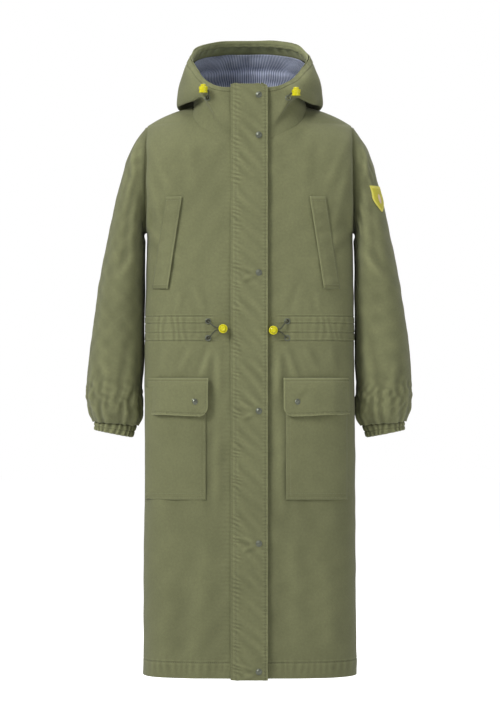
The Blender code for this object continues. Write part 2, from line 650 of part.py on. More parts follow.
def make_patch_pocket(side):
    """A tray standing off the front panel, sewn down on three sides and open at its top."""
    rises = [0, 0.05, 0.2, 0.4, 0.6, 0.8, 0.95, 1]
    grid = []
    for down in [0, 0.3, 0.6, 0.85, 0.96, 1]:
        z = POCKET_TOP_Z + (POCKET_LOW_Z - POCKET_TOP_Z) * down
        line = []
        for across in rises:
            x = FRONT_X + side * (POCKET_INNER + (POCKET_OUTER - POCKET_INNER) * across)
            rim = min(rounded(min(across, 1 - across) / 0.05, 2), rounded((1 - down) / 0.04, 2))
            line.append(on_front(x, z, 0.0028 + (POCKET_STAND - 0.0028) * rim))
        grid.append(line)
    pocket = sheet(f"patch_pocket_{SIDE_NAMES[side]}", [grid], SHELL, (CANVAS, 0.9))
    origin, axis = flap_snap_frame(side)
    drill(pocket, [(origin + axis * POCKET_STAND, axis)], 0.0021, 0.006)
    profile = [(0, 5.9), (3.6, 5.9), (3.6, 7.1), (1.6, 7.1), (1.6, 9.9), (3.8, 9.9), (3.8, 10.5), (1.7, 10.5),
               (1.7, 12.1), (0, 12.1)]
    turned(f"pocket_stud_{SIDE_NAMES[side]}", millimetres(profile), origin, axis, (SNAP_GREY, 0.35, 1))


def flap_snap_frame(side):
    x, z = FRONT_X + side * FLAP_SNAP[0], FLAP_SNAP[1]
    origin = on_front(x, z, 0)
    return origin, (on_front(x, z, 1) - origin).normalized()


def flap_pivot_line(side):
    """Two points of the flap's hinge line, just above its sewn edge."""
    z = FLAP_TOP_Z + FLAP_PIVOT_RISE
    return [on_front(FRONT_X + side * reach, z, 0.003) for reach in (FLAP_INNER, FLAP_OUTER)]


def make_flap(side):
    name = f"pocket_flap_{SIDE_NAMES[side]}"
    outer, inner = [], []
    for i, down in enumerate([0, 0.12, 0.3, 0.55, 0.8, 0.93, 1]):
        z = FLAP_TOP_Z + (FLAP_LOW_Z - FLAP_TOP_Z) * down
        above = max(0.0, 1 - (z - FLAP_LOW_Z) / FLAP_CORNER)
        start = FLAP_INNER + FLAP_CORNER * (1 - math.sqrt(1 - above**2))
        xs = [FRONT_X + side * (start + (FLAP_OUTER - start) * j / 7) for j in range(8)]
        lift = 0.0040 + 0.0088 * rounded(down / 0.3, 1.6)
        outer.append([on_front(x, z, lift + 0.0024) for x in xs])
        inner.append([on_front(x, z, lift) for x in xs])
    flap = plate(name, outer, inner, (CANVAS, 0.9))
    origin, axis = flap_snap_frame(side)
    drill(flap, [(origin + axis * 0.014, axis)], 0.0025, 0.008)
    pivot = (flap_pivot_line(side)[0] + flap_pivot_line(side)[1]) / 2
    move_origin(flap, pivot)
    profile = [(0, 12.3), (2.2, 12.3), (2.2, 11.2), (4.6, 11.2), (4.6, 12.4), (2.1, 12.4), (2.1, 15.5), (6.4, 15.5),
               (6.2, 16.4), (4.2, 17.5), (0, 18.1)]
    cap = turned(f"pocket_cap_{SIDE_NAMES[side]}", millimetres(profile), origin, axis, (SNAP_GREY, 0.3, 1))
    move_origin(cap, pivot)


# ---------------------------------------------------------------- drawcords and locks


def make_waist_cord(side):
    """Both ends in the lock, out through two eyelets, and round inside the waist tunnel."""
    lock_x, lock_z = WAIST_LOCK[side]
    hole_x = WAIST_EYELET_X[side]
    name = f"waist_drawcord_{SIDE_NAMES[side]}"
    route = []
    for lane, z in zip((1, -1), EYELET_HEIGHTS):
        level = lock_z + lane * LOCK_LANE
        strand = [on_front(lock_x - side * 0.002, level, LOCK_N), on_front(lock_x + side * 0.005, level, LOCK_N)]
        strand.append(on_front(lock_x + side * 0.0118, level, LOCK_N))
        strand.append(on_front(hole_x - side * 0.0055, z - lane * 0.0050, 0.0058))
        strand.append(on_front(hole_x - side * 0.0016, z - lane * 0.0008, 0.0020))
        strand.append(on_front(hole_x, z, -0.0012))
        strand.append(on_front(hole_x + side * 0.0018, z, -0.0042))
        strand.append(on_front(hole_x + side * 0.0070, z, -0.0058))
        strand += [on_front(hole_x + side * reach, z, -0.0050) for reach in (0.02, 0.035, 0.05)]
        strand.append(on_front(side * (WAIST_CORD_TURN - 0.02), z, -0.0050))
        route.append(strand)
    middle = sum(EYELET_HEIGHTS) / 2
    turn = [on_front(side * (WAIST_CORD_TURN - 0.006), middle + 0.0115, -0.0050),
            on_front(side * WAIST_CORD_TURN, middle, -0.0050),
            on_front(side * (WAIST_CORD_TURN - 0.006), middle - 0.0115, -0.0050)]
    cord(name, route[0] + turn + route[1][::-1], CORD_R, ((0.12, 0.12, 0.08), 0.8), 34)
    for level, z in zip(("upper", "lower"), EYELET_HEIGHTS):
        origin = on_front(hole_x, z, 0)
        axis = (on_front(hole_x, z, 1) - origin).normalized()
        eyelet_ring(f"waist_eyelet_{SIDE_NAMES[side]}_{level}", origin, axis)


def eyelet_ring(name, origin, axis):
    """A flat metal ring round the cord's hole."""
    outline = [(EYELET_R, 0.0004), (0.0060, 0.0004), (0.0059, 0.0010), (0.0050, 0.0014), (EYELET_R, 0.0010)]
    segments = 10
    bm = bmesh.new()
    rings = []
    for k in range(segments):
        angle = 2 * math.pi * k / segments
        rings.append([bm.verts.new((r * math.cos(angle), r * math.sin(angle), h)) for r, h in outline])
    for here, ahead in zip(rings, rings[1:] + rings[:1]):
        for k in range(len(outline)):
            m = (k + 1) % len(outline)
            bm.faces.new((here[k], here[m], ahead[m], ahead[k]))
    bm.transform(frame_matrix(origin, axis))
    closed_mesh(name, bm, (SNAP_GREY, 0.35, 1))


def lock_pair(name, centre, axis, across, slot_wide):
    """A barrel cord lock: a body with a cord slot and a bore, and the button that springs out of it."""
    matrix = frame_matrix(centre, axis)
    half = LOCK_LONG / 2
    profile = [(0, -half), (LOCK_R - 0.001, -half), (LOCK_R, -half + 0.001), (LOCK_R, half - 0.001),
               (LOCK_R - 0.001, half), (LOCK_BORE_R, half), (LOCK_BORE_R, half - LOCK_BORE), (0, half - LOCK_BORE)]
    body = turned(f"cord_lock_body_{name}", profile, centre, axis, (LOCK_YELLOW, 0.25), 14)
    bm = bmesh.new()
    local = matrix.to_quaternion().inverted() @ Vector(across)
    turn = Matrix.Rotation(math.atan2(local.y, local.x), 4, "Z")
    size = Matrix.Diagonal((0.03, slot_wide, LOCK_SLOT, 1))
    bmesh.ops.create_cube(bm, size=1, matrix=matrix @ turn @ size @ Matrix.Translation((0, 0, -LOCK_DROP / LOCK_SLOT)))
    cut(body, bm)
    low = half - LOCK_BORE + 0.0036
    knob = [(0, low), (BUTTON_R, low), (BUTTON_R, low + BUTTON_LONG - 0.0012),
            (BUTTON_R - 0.0012, low + BUTTON_LONG), (0, low + BUTTON_LONG)]
    button = turned(f"cord_lock_button_{name}", knob, centre, axis, (LOCK_YELLOW, 0.25), 14)
    for piece in (body, button):
        move_origin(piece, centre)


def make_locks():
    for side in (LEFT, RIGHT):
        x, z = WAIST_LOCK[side]
        axis = (on_front(x, z, 1) - on_front(x, z, 0)).normalized()
        lock_pair(f"waist_{SIDE_NAMES[side]}", on_front(x, z, LOCK_N) + axis * LOCK_DROP, axis, (side, 0, 0), 0.0100)
        lock_pair(f"hood_{SIDE_NAMES[side]}", Vector(HOOD_LOCK[side]), (0, 0, 1), (side, 0, 0), 0.0080)


def make_hood_cord(side):
    """From the lock through its eyelet and some way along the rim's tunnel."""
    lock = Vector(HOOD_LOCK[side]) - Vector((0, 0, LOCK_DROP))
    hole = hood_offset(HOOD_EYELET, HOOD_EYELET_LEVEL, side, 0)
    out = (hood_offset(HOOD_EYELET, HOOD_EYELET_LEVEL, side, 1) - hole).normalized()
    route = [lock + Vector((side * 0.003, 0, 0)), lock - Vector((side * 0.004, 0, 0))]
    route.append(lock - Vector((side * 0.0100, 0, 0)))
    route += [hole + out * 0.0075, hole - out * 0.0010, hole - out * 0.0046]
    route += [hood_offset(0.175, 0.66, side, -0.0056), hood_offset(0.2, 0.8, side, -0.0050)]
    route += [hood_offset(share, HOOD_TUNNEL, side, -0.0045) for share in (0.235, 0.26, 0.285)]
    cord(f"hood_drawcord_{SIDE_NAMES[side]}", route, CORD_R, ((0.12, 0.12, 0.08), 0.8), 20)


# ---------------------------------------------------------------- hood


def both_sides(point, shares, levels):
    """A grid that runs from one side's first share round the back to the other side's."""
    grid = []
    for level in levels:
        right = [point(share, level, RIGHT) for share in shares]
        left = [point(share, level, LEFT) for share in shares]
        grid.append(right + left[-2::-1])
    return grid


def make_hood():
    start = COLLAR_END + 0.007
    shares = [start + (1 - start) * k / 10 for k in range(11)]
    shell = sheet("hood_shell", [both_sides(hood_point, shares, HOOD_ROWS)], SHELL, (CANVAS, 0.9))

    def facing_point(share, level, side):
        return hood_offset(share, level, side, -0.0076 + 0.0046 * max(0.0, (level - 0.965) / 0.03))

    facing = sheet("hood_facing", [both_sides(facing_point, shares, [0.91, 0.94, 0.968, 0.995])], LINING,
                   (CANVAS, 0.9))

    def lining_point(share, level, side):
        return follow(lining_profile(share, side), level)

    lining_shares = [start + (1 - start) * k / 9 for k in range(10)]
    lining = sheet("hood_lining", [both_sides(lining_point, lining_shares, [0, 0.15, 0.3, 0.45, 0.6, 0.8, 1])],
                   LINING, (LINING_BLUE, 0.8))
    for piece in (shell, facing, lining):
        move_origin(piece, HOOD_PIVOT)


# ---------------------------------------------------------------- sleeves


def make_sleeve(side):
    label = SIDE_NAMES[side]
    pivot = (side * SLEEVE_PIVOT[0], SLEEVE_PIVOT[1], SLEEVE_PIVOT[2])
    stations = [row[0] for row in SLEEVE]
    turns = [2 * math.pi * k / 14 for k in range(14)]
    grid = [[section_point(sleeve_section(s), turn, side) for turn in turns] for s in stations]
    middle = (side * 0.262, MID_Y)
    sleeve = sheet(f"sleeve_{label}", [grid], SHELL, (CANVAS, 0.9), middle, closed=True)

    inner_stations = [0.03, 0.14, 0.32, 0.52, 0.7, 0.88, 0.97]
    inner = [[section_point(sleeve_section(s), turn, side, 0.006) for turn in turns] for s in inner_stations]
    lining = sheet(f"sleeve_lining_{label}", [inner], LINING, (LINING_BLUE, 0.8), middle, closed=True)

    top, bottom = np.array(CUFF_TOP), np.array(CUFF_BOTTOM)
    cuts = [section(*(top + (bottom - top) * share)) for share in (0, 0.5, 1)]
    band = [[section_point(edge, turn, side) for turn in turns] for edge in cuts]
    cuff = sheet(f"cuff_{label}", [band], CUFF_WALL, (CANVAS, 0.85), middle, closed=True)
    pieces = [sleeve, lining, cuff]
    if side == LEFT:
        pieces.append(make_badge())
    for piece in pieces:
        move_origin(piece, pivot)


def make_badge():
    """A plain shield sewn to the outside of the left sleeve, following its curve."""
    outer, inner = [], []
    for down in [0, 0.2, 0.4, 0.6, 0.8, 1]:
        width = 0.34 * math.sqrt(max(0.0, 1 - max(0.0, (down - 0.35) / 0.66) ** 2)) + 0.02
        share = 0.252 + 0.098 * down
        cut_here = sleeve_section(share)
        line_out, line_in = [], []
        for k in range(5):
            turn = 0.62 + width * (k / 2 - 1)
            line_out.append(section_point(cut_here, turn, LEFT, -0.0016))
            line_in.append(section_point(cut_here, turn, LEFT, -0.0005))
        outer.append(line_out)
        inner.append(line_in)
    return plate("sleeve_badge", outer, inner, ((0.45, 0.44, 0.09), 0.8))


# ---------------------------------------------------------------- assembly


def main():
    clear_scene()
    for side in (LEFT, RIGHT):
        make_front(side)
        make_collar(side)
        make_welt(side)
        make_patch_pocket(side)
        make_flap(side)
        make_waist_cord(side)
        make_hood_cord(side)
        make_sleeve(side)
    make_back()
    make_body_lining()
    make_hanger_loop()
    make_zip()
    make_snap_studs()
    make_placket()
    make_hood()
    make_locks()


main()
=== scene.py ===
import math

import bmesh
import bpy
import numpy as np
from mathutils import Matrix, Vector


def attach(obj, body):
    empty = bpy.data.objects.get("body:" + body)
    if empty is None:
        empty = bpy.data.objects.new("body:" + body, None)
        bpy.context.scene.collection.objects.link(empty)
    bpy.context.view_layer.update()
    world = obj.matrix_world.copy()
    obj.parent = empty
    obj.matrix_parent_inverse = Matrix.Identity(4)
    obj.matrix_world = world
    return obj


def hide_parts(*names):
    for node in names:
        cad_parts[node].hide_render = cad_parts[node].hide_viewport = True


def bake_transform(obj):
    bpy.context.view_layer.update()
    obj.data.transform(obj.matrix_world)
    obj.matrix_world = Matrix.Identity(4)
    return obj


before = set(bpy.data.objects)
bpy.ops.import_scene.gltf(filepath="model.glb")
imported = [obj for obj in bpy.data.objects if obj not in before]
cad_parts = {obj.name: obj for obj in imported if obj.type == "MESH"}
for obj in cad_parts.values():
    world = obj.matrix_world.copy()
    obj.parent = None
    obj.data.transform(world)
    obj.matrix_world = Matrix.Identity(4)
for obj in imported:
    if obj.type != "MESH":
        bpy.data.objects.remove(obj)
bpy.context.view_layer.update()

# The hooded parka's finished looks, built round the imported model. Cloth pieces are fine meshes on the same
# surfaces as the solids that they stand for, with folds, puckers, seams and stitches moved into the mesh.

LEFT, RIGHT = 1, -1
SIDE_NAMES = {LEFT: "left", RIGHT: "right"}

# ---------------------------------------------------------------- the garment's cut, in metres

MID_Y = -0.075
FRONT_X = -0.007
HEM_Z = -1.143
COLLAR_TOP_Z = 0.016
FRONT_Y_TOP, FRONT_Y_HEM = -0.186, -0.212
FRONT_SLOPE = (FRONT_Y_HEM - FRONT_Y_TOP) / (HEM_Z - COLLAR_TOP_Z)
SHELL, LINING = 0.0016, 0.0010
LINING_INSET = 0.0085
FRONT_GAP = 0.006
BODY_POWER = 3.5
ARM_TOP_Z, ARM_LOW_Z, ARM_DEPTH = -0.052, -0.268, 0.066
HALF_WIDTH = [(HEM_Z, 0.213), (-0.8, 0.211), (-0.5, 0.2085), (ARM_LOW_Z, 0.2055),
              (-0.16, 0.204), (-0.05, 0.203)]
SHOULDER_LINE = [(0, 0.018), (0.06, 0.008), (0.112, -0.0135), (0.151, -0.0255),
                 (0.184, -0.0405), (0.203, -0.052)]
BACK_DEPTH = [(HEM_Z, 0.127), (-0.8, 0.124), (-0.5, 0.122), (-0.25, 0.128), (-0.12, 0.124), (0.0, 0.119)]
FRONT_ROUND, BACK_ROUND = 0.11, 0.075
NECK_ROW, SQUARE_ROW = 0.2, 0.4
FRONT_INNER = [(0, 0.112, -0.0135), (0.04, 0.1085, -0.036), (0.08, 0.098, -0.0535), (0.12, 0.08, -0.066),
               (0.16, 0.042, -0.084), (NECK_ROW, 0, -0.092)]
BACK_INNER = [(0, 0.112, -0.0135), (0.05, 0.092, -0.0105), (0.1, 0.062, -0.0075), (0.15, 0.03, -0.0062),
              (NECK_ROW, 0, -0.006)]
OUTER_ROW = [(0, ARM_TOP_Z), (0.1, -0.105), (0.2, -0.17), (0.3, -0.235),
             (0.36, ARM_LOW_Z), (SQUARE_ROW, -0.32)]
HOOD_UNDER = [(0, 0, -0.189, -0.076), (0.1, 0.044, -0.1880, -0.068), (0.2, 0.080, -0.172, -0.022),
              (0.3, 0.097, -0.150, -0.004), (0.4, 0.107, -0.114, 0.004), (0.5, 0.111, -0.074, 0.008),
              (0.675, 0.092, -0.014, 0.010), (0.85, 0.052, 0.014, 0.012), (1, 0, 0.026, 0.012)]
HOOD_FOLD = [(0, 0, -0.1885, -0.060), (0.1, 0.046, -0.1876, -0.050), (0.2, 0.087, -0.183, -0.004),
             (0.3, 0.112, -0.160, -0.010), (0.4, 0.132, -0.122, -0.014), (0.5, 0.1415, -0.078, -0.0155),
             (0.675, 0.124, -0.002, -0.022), (0.85, 0.070, 0.052, -0.018), (1, 0, 0.070, -0.016)]
HOOD_BULGE = [(0, 0, -0.187, -0.020), (0.1, 0.050, -0.1867, -0.016), (0.2, 0.095, -0.181, 0.008),
              (0.3, 0.122, -0.156, 0.014), (0.4, 0.138, -0.120, 0.016), (0.5, 0.1435, -0.078, 0.014),
              (0.675, 0.128, -0.003, 0.018), (0.85, 0.075, 0.062, 0.030), (1, 0, 0.082, 0.036)]
HOOD_UPPER = [(0, 0, -0.1865, -0.001), (0.1, 0.053, -0.1862, 0.002), (0.2, 0.096, -0.174, 0.022),
              (0.3, 0.120, -0.148, 0.044), (0.4, 0.131, -0.115, 0.055), (0.5, 0.1325, -0.078, 0.056),
              (0.675, 0.116, -0.008, 0.074), (0.85, 0.066, 0.048, 0.088), (1, 0, 0.066, 0.092)]
HOOD_RIM = [(0, 0, -0.186, COLLAR_TOP_Z), (0.1, 0.052, -0.1850, 0.017), (0.2, 0.086, -0.160, 0.034),
            (0.3, 0.109, -0.130, 0.062), (0.4, 0.119, -0.100, 0.082), (0.5, 0.1165, -0.073, 0.094),
            (0.675, 0.094, -0.025, 0.116), (0.85, 0.048, 0.012, 0.127), (1, 0, 0.020, 0.1285)]
HOOD_LEVELS = [0, 0.15, 0.35, 0.6, 0.8, 1]
NECK_RISE = 0.0006
HOOD_AXIS = (0, MID_Y)
SLEEVE = [(0, 0.2080, -0.0575, 0.2090, -0.268, 0.066), (0.06, 0.229, -0.086, 0.2100, -0.272, 0.070),
          (0.14, 0.245, -0.120, 0.2105, -0.278, 0.074), (0.22, 0.2560, -0.160, 0.2110, -0.288, 0.078),
          (0.32, 0.268, -0.205, 0.2115, -0.305, 0.081), (0.42, 0.2790, -0.260, 0.2115, -0.330, 0.083),
          (0.52, 0.292, -0.325, 0.2120, -0.370, 0.084), (0.64, 0.3060, -0.405, 0.2125, -0.430, 0.083),
          (0.76, 0.318, -0.485, 0.2130, -0.500, 0.080), (0.88, 0.3245, -0.560, 0.2135, -0.568, 0.074),
          (0.95, 0.3225, -0.600, 0.2140, -0.608, 0.066), (0.985, 0.3160, -0.628, 0.2170, -0.637, 0.052),
          (1, 0.311, -0.642, 0.224, -0.649, 0.040)]
SLEEVE_POWER, SLEEVE_MIDDLE = 2.3, 0.262
SLEEVE_TUCK = (0.2058, -0.0560, 0.2070, -0.2668, 0.0655)
CUFF_TOP = (0.3095, -0.6435, 0.2255, -0.6505, 0.037)
CUFF_BOTTOM = (0.3100, -0.6600, 0.2340, -0.6750, 0.034)
PLACKET_SEWN_X, PLACKET_FREE_X = -0.0372, 0.0362
PLACKET_TOP_Z, PLACKET_LOW_Z = 0.0218, -1.146
SNAP_X = 0.0184
SNAP_HEIGHTS = [0.0, -0.079, -0.349, -0.620, -0.879, -1.129]
WELT_TOP_Z, WELT_LOW_Z = -0.199, -0.380
WELT_TOP, WELT_LOW = (0.125, 0.157), (0.152, 0.184)
FLAP_INNER, FLAP_OUTER = 0.0735, 0.196
FLAP_TOP_Z, FLAP_LOW_Z, FLAP_CORNER = -0.555, -0.627, 0.018
FLAP_SNAP = (0.099, -0.602)
POCKET_INNER, POCKET_OUTER = 0.078, 0.198
POCKET_TOP_Z, POCKET_LOW_Z = -0.574, -0.794
CHANNEL_LINES = (-0.434, -0.448, -0.466, -0.482)
HEM_LINE = HEM_Z + 0.031
WAIST_EYELET_X = {LEFT: 0.0740, RIGHT: -0.0810}
EYELET_HEIGHTS = [-0.444, -0.477]
WAIST_LOCK = {LEFT: (0.0465, -0.462), RIGHT: (-0.0515, -0.459)}
WAIST_CORD_TURN = 0.165
LOCK_N, LOCK_DROP, LOCK_LANE, LOCK_SLOT = 0.0075, 0.0019, 0.0023, 0.0048
HOOD_LOCK = {LEFT: (0.0915, -0.1955, 0.004), RIGHT: (-0.0905, -0.1955, 0.010)}
HOOD_EYELET, HOOD_EYELET_LEVEL = 0.158, 0.55
CORD_R = 0.0013

# ---------------------------------------------------------------- curves and surfaces


def follow(table, key):
    """Values at key on the smooth curve through the table's rows, whose first column is the key."""
    rows = np.asarray(table, float)
    keys, values = rows[:, 0], rows[:, 1:]
    slopes = np.gradient(values, keys, axis=0)
    key = np.clip(np.asarray(key, float), keys[0], keys[-1])
    i = np.clip(np.searchsorted(keys, key, side="right") - 1, 0, len(keys) - 2)
    step = (keys[i + 1] - keys[i])[..., None]
    f = ((key - keys[i])[..., None]) / step
    bend = f * f * (3 - 2 * f)
    rise = (f * (1 - f) ** 2 * slopes[i] - f * f * (1 - f) * slopes[i + 1]) * step
    return values[i] * (1 - bend) + values[i + 1] * bend + rise


def rounded(share, power):
    """Rises from 0 at share 0 to 1 at share 1, as the end of a rounded oval does."""
    left = 1 - np.clip(share, 0, 1)
    return (1 - left**power) ** (1 / power)


def smooth(value, low, high):
    """0 at low, 1 at high, smooth between."""
    f = np.clip((value - low) / (high - low), 0, 1)
    return f * f * (3 - 2 * f)


def near(value, middle, width):
    """A soft bump of height 1 at the middle."""
    return np.exp(-(((value - middle) / width) ** 2))


def half_width(z, inset=0.0):
    """The body from its middle to its side seam, at a height."""
    return follow(HALF_WIDTH, z)[..., 0] - inset


def shoulder_z(x, inset=0.0):
    """The height of the shoulder line, at a distance from the middle."""
    return follow(SHOULDER_LINE, np.abs(x))[..., 0] - inset


def zip_y(z):
    """The closure stands in a plane that leans forward towards the hem."""
    return FRONT_Y_TOP + (z - COLLAR_TOP_Z) * FRONT_SLOPE


def arm_depth(z, inset):
    """Half the armhole from front to back, at a height."""
    middle, half = (ARM_TOP_Z + ARM_LOW_Z) / 2, (ARM_TOP_Z - ARM_LOW_Z) / 2 - inset
    return (ARM_DEPTH - inset) * rounded(1 - np.abs(z - middle) / half, 2.2)


def body_depth(x, z, depth, rounding, inset):
    """How far a panel stands off the middle plane: depth at its centre, the armhole's at its side."""
    over = rounded((shoulder_z(x, inset) - z) / rounding, 2)
    across = rounded(1 - np.abs(x) / half_width(z, inset), BODY_POWER)
    arm = arm_depth(z, inset)
    soft = arm * smooth(z, ARM_LOW_Z, ARM_LOW_Z + 0.06)
    arm = soft + (arm - soft) * smooth(np.abs(x) / half_width(z, inset), 0.93, 1.0)
    return arm + (over * (depth - inset) - arm) * across


def front_y(x, z, inset=0.0):
    return MID_Y - body_depth(x, z, MID_Y - zip_y(z), FRONT_ROUND, inset)


def back_y(x, z, inset=0.0):
    return MID_Y + body_depth(x, z, follow(BACK_DEPTH, z)[..., 0], BACK_ROUND, inset)


def on_front(x, z, lift=0.0):
    """Points lifted off the front panels, and the normals there."""
    x, z = np.broadcast_arrays(np.asarray(x, float), np.asarray(z, float))
    step = 0.001
    slope_x = (front_y(x + step, z) - front_y(x - step, z)) / (2 * step)
    slope_z = (front_y(x, z + step) - front_y(x, z - step)) / (2 * step)
    normal = np.stack((slope_x, -np.ones_like(slope_x), slope_z), -1)
    normal /= np.linalg.norm(normal, axis=-1, keepdims=True)
    base = np.stack((x, front_y(x, z), z), -1)
    return base + normal * np.asarray(lift)[..., None], normal


def torso_grid(surface, inner, side, centre_x, rows, columns, low_z=HEM_Z, inset=0.0):
    """Points of one half of a front or a back, from the shoulder seam to the hem."""
    shares = 1 - (1 - np.linspace(0, 1, columns + 1)) ** 1.5
    grid = np.zeros((len(rows), columns + 1, 3))
    for i, t in enumerate(rows):
        neck = follow(inner, min(t, NECK_ROW))
        centre = min(t / NECK_ROW, 1.0)
        x_in = side * (neck[0] - inset * (1 - centre)) + centre_x * centre
        run = (t - NECK_ROW) / (SQUARE_ROW - NECK_ROW)
        if t <= NECK_ROW:
            z_in, z_out = neck[1] - inset, follow(OUTER_ROW, t)[0]
        elif t <= SQUARE_ROW:
            z_in = neck[1] + (OUTER_ROW[-1][1] - neck[1]) * run
            z_out = follow(OUTER_ROW, t)[0]
        else:
            z_in = OUTER_ROW[-1][1] + (low_z - OUTER_ROW[-1][1]) * (t - SQUARE_ROW) / (1 - SQUARE_ROW)
            z_out = z_in
        if t < NECK_ROW:
            z_out -= inset * (1 - centre)
        x_out = side * half_width(z_out, inset)
        x = x_in + (x_out - x_in) * shares
        z = z_in + (z_out - z_in) * shares
        ends = zip(FRONT_INNER[0][1:], (SHOULDER_LINE[-1][0], ARM_TOP_Z))
        chord = np.interp(np.abs(x), *ends)
        z = z + (shoulder_z(x, inset) - (chord - inset)) * max(0.0, 1 - t / NECK_ROW) ** 2
        grid[i] = np.stack((x, surface(x, z, inset), z), -1)
    return grid


def neck_seam(share, side):
    """The seam under the hood: share 0 is the front opening and 1 the centre back."""
    if share <= 0.5:
        x, z = follow(FRONT_INNER, NECK_ROW * (1 - share / 0.5))
        x = side * x + (FRONT_X + side * FRONT_GAP) * (1 - share / 0.5)
        return np.array((x, front_y(x, z), z))
    x, z = follow(BACK_INNER, NECK_ROW * (share - 0.5) / 0.5)
    return np.array((side * x, back_y(side * x, z), z))


def inward(point):
    """The level direction from a point to the hood's axis."""
    way = np.array((HOOD_AXIS[0] - point[0], HOOD_AXIS[1] - point[1], 0.0))
    return way / np.linalg.norm(way)


def hood_rings(share, side):
    """The hood's six control points at one place round the neck."""
    points = [neck_seam(share, side) + np.array((0, 0, NECK_RISE))]
    for table in (HOOD_UNDER, HOOD_FOLD, HOOD_BULGE, HOOD_UPPER, HOOD_RIM):
        x, y, z = follow(table, share)
        points.append(np.array((side * x, y, z)))
    flat = max(0.0, 1 - (share / 0.12) ** 2)
    for index, point in enumerate(points):
        if index:
            point[0] += (FRONT_X + side * FRONT_GAP) * max(0.0, 1 - share / 0.3)
        point[1] += (zip_y(point[2]) - point[1]) * flat
    return points


def hood_profile(share, levels, side):
    """Points from the neck, level 0, to the rim, level 1, at one place round the hood."""
    rings = hood_rings(share, side)
    return follow([(key, *point) for key, point in zip(HOOD_LEVELS, rings)], levels)


def lining_profile(share, levels, side):
    """The hood lining: a smooth bowl from the neck up to the facing."""
    seam, under, _, bulge, upper, rim = hood_rings(share, side)
    rise = np.array((0, 0, 0.006))
    points = [seam + inward(seam) * 0.009 + rise, under + inward(under) * 0.011 + rise * 1.6]
    points.append(under + (bulge - under) * 0.4 + inward(under) * 0.004 + rise * 2.2)
    deep = 0.011 + 0.012 * max(0.0, 1 - share / 0.5)
    points.append(bulge + inward(bulge) * deep + rise)
    low = rise * 3.0 * max(0.0, 1 - share / 0.45)
    points.append(bulge + (upper - bulge) * 0.6 + inward(upper) * deep - low * 0.5)
    points.append(upper + (rim - upper) * 0.30 + inward(upper) * deep - low)
    return follow([(index / 5, *point) for index, point in enumerate(points)], levels)


def round_hood(profile, shares, levels):
    """A grid from the wearer's right front round the back to the left front."""
    right = np.stack([profile(share, levels, RIGHT) for share in shares], 1)
    left = np.stack([profile(share, levels, LEFT) for share in shares], 1)
    return np.concatenate((right, left[:, -2::-1]), 1)


def section_points(values, turns, side, inset=0.0):
    """An oval section: turn 0 is its outer edge and a quarter turn its front."""
    outer_x, outer_z, inner_x, inner_z, depth = values
    centre = np.array(((outer_x + inner_x) / 2, MID_Y, (outer_z + inner_z) / 2))
    reach = np.array(((outer_x - inner_x) / 2, 0, (outer_z - inner_z) / 2))
    c, s = np.cos(turns), np.sin(turns)
    c, s = (np.copysign(np.abs(v) ** (2 / SLEEVE_POWER), v) for v in (c, s))
    wide = 1 - inset / np.linalg.norm(reach)
    points = centre + np.outer(c, reach) * wide + np.outer(-(depth - inset) * s, (0, 1, 0))
    return points * np.array((side, 1, 1))


def zip_plane(x, z, n):
    """Points in the closure's plane: n outwards from the front panels."""
    x, z, n = np.broadcast_arrays(*(np.asarray(v, float) for v in (x, z, n)))
    slope = math.atan(FRONT_SLOPE)
    return np.stack((x, zip_y(z) - n * math.cos(slope), z + n * math.sin(slope)), -1)


ZIP_NORMAL = zip_plane(0, 0, 1) - zip_plane(0, 0, 0)

# ---------------------------------------------------------------- folds


WAVE_COUNT = 9


def waves(a, b, seed, length, spread=math.pi):
    """A soft random relief from -1 to 1, made of nine sine waves of about one length."""
    rng = np.random.default_rng(seed)
    total = np.zeros(np.broadcast(a, b).shape)
    for _ in range(WAVE_COUNT):
        angle = rng.uniform(-spread / 2, spread / 2)
        pitch = 2 * math.pi / (length * rng.uniform(0.7, 1.5))
        total += np.sin(pitch * (a * math.cos(angle) + b * math.sin(angle)) + rng.uniform(0, 2 * math.pi))
    return total / math.sqrt(WAVE_COUNT) / 1.4


def crease(a, b, start, end, width, height):
    """A soft ridge with a valley beside it, from start to end, fading out at both ends."""
    start, end = np.asarray(start, float), np.asarray(end, float)
    way = end - start
    length = np.linalg.norm(way)
    way = way / length
    along = ((a - start[0]) * way[0] + (b - start[1]) * way[1]) / length
    across = -(a - start[0]) * way[1] + (b - start[1]) * way[0]
    fade = smooth(along, -0.15, 0.3) * (1 - smooth(along, 0.7, 1.15))
    return height * fade * (near(across, 0, width) - 0.7 * near(across, 1.6 * width, width))


def ripples(key, pitch, wander=0.0):
    """Gathers or stitch holes along key, one in each pitch, from -1 to 1."""
    return np.sin(key * 2 * math.pi / pitch + wander)


def skirt_shade(z, depth, high=0.42, low=0.80):
    """The cloth's tone falls by depth from the waist down to the skirt."""
    return -depth * smooth(-z, high, low)


def creased(relief, a, b, creases):
    """The relief with a list of creases added."""
    for row in creases:
        relief = relief + crease(a, b, *row)
    return relief


def grid_normals(grid, closed=False):
    """Unit normals of a grid of points."""
    if closed:
        wrap = np.concatenate((grid[:, -1:], grid, grid[:, :1]), 1)
        across = (wrap[:, 2:] - wrap[:, :-2]) / 2
    else:
        across = np.gradient(grid, axis=1)
    down = np.gradient(grid, axis=0)
    normal = np.cross(across, down)
    size = np.linalg.norm(normal, axis=-1, keepdims=True)
    return normal / np.maximum(size, 1e-12)


# Fold tone: ridges paler as wear, fold valleys darker as painted shade.
FOLD_WEAR_AND_SHADE = 240.0
PLAIN_TONE = 0.5


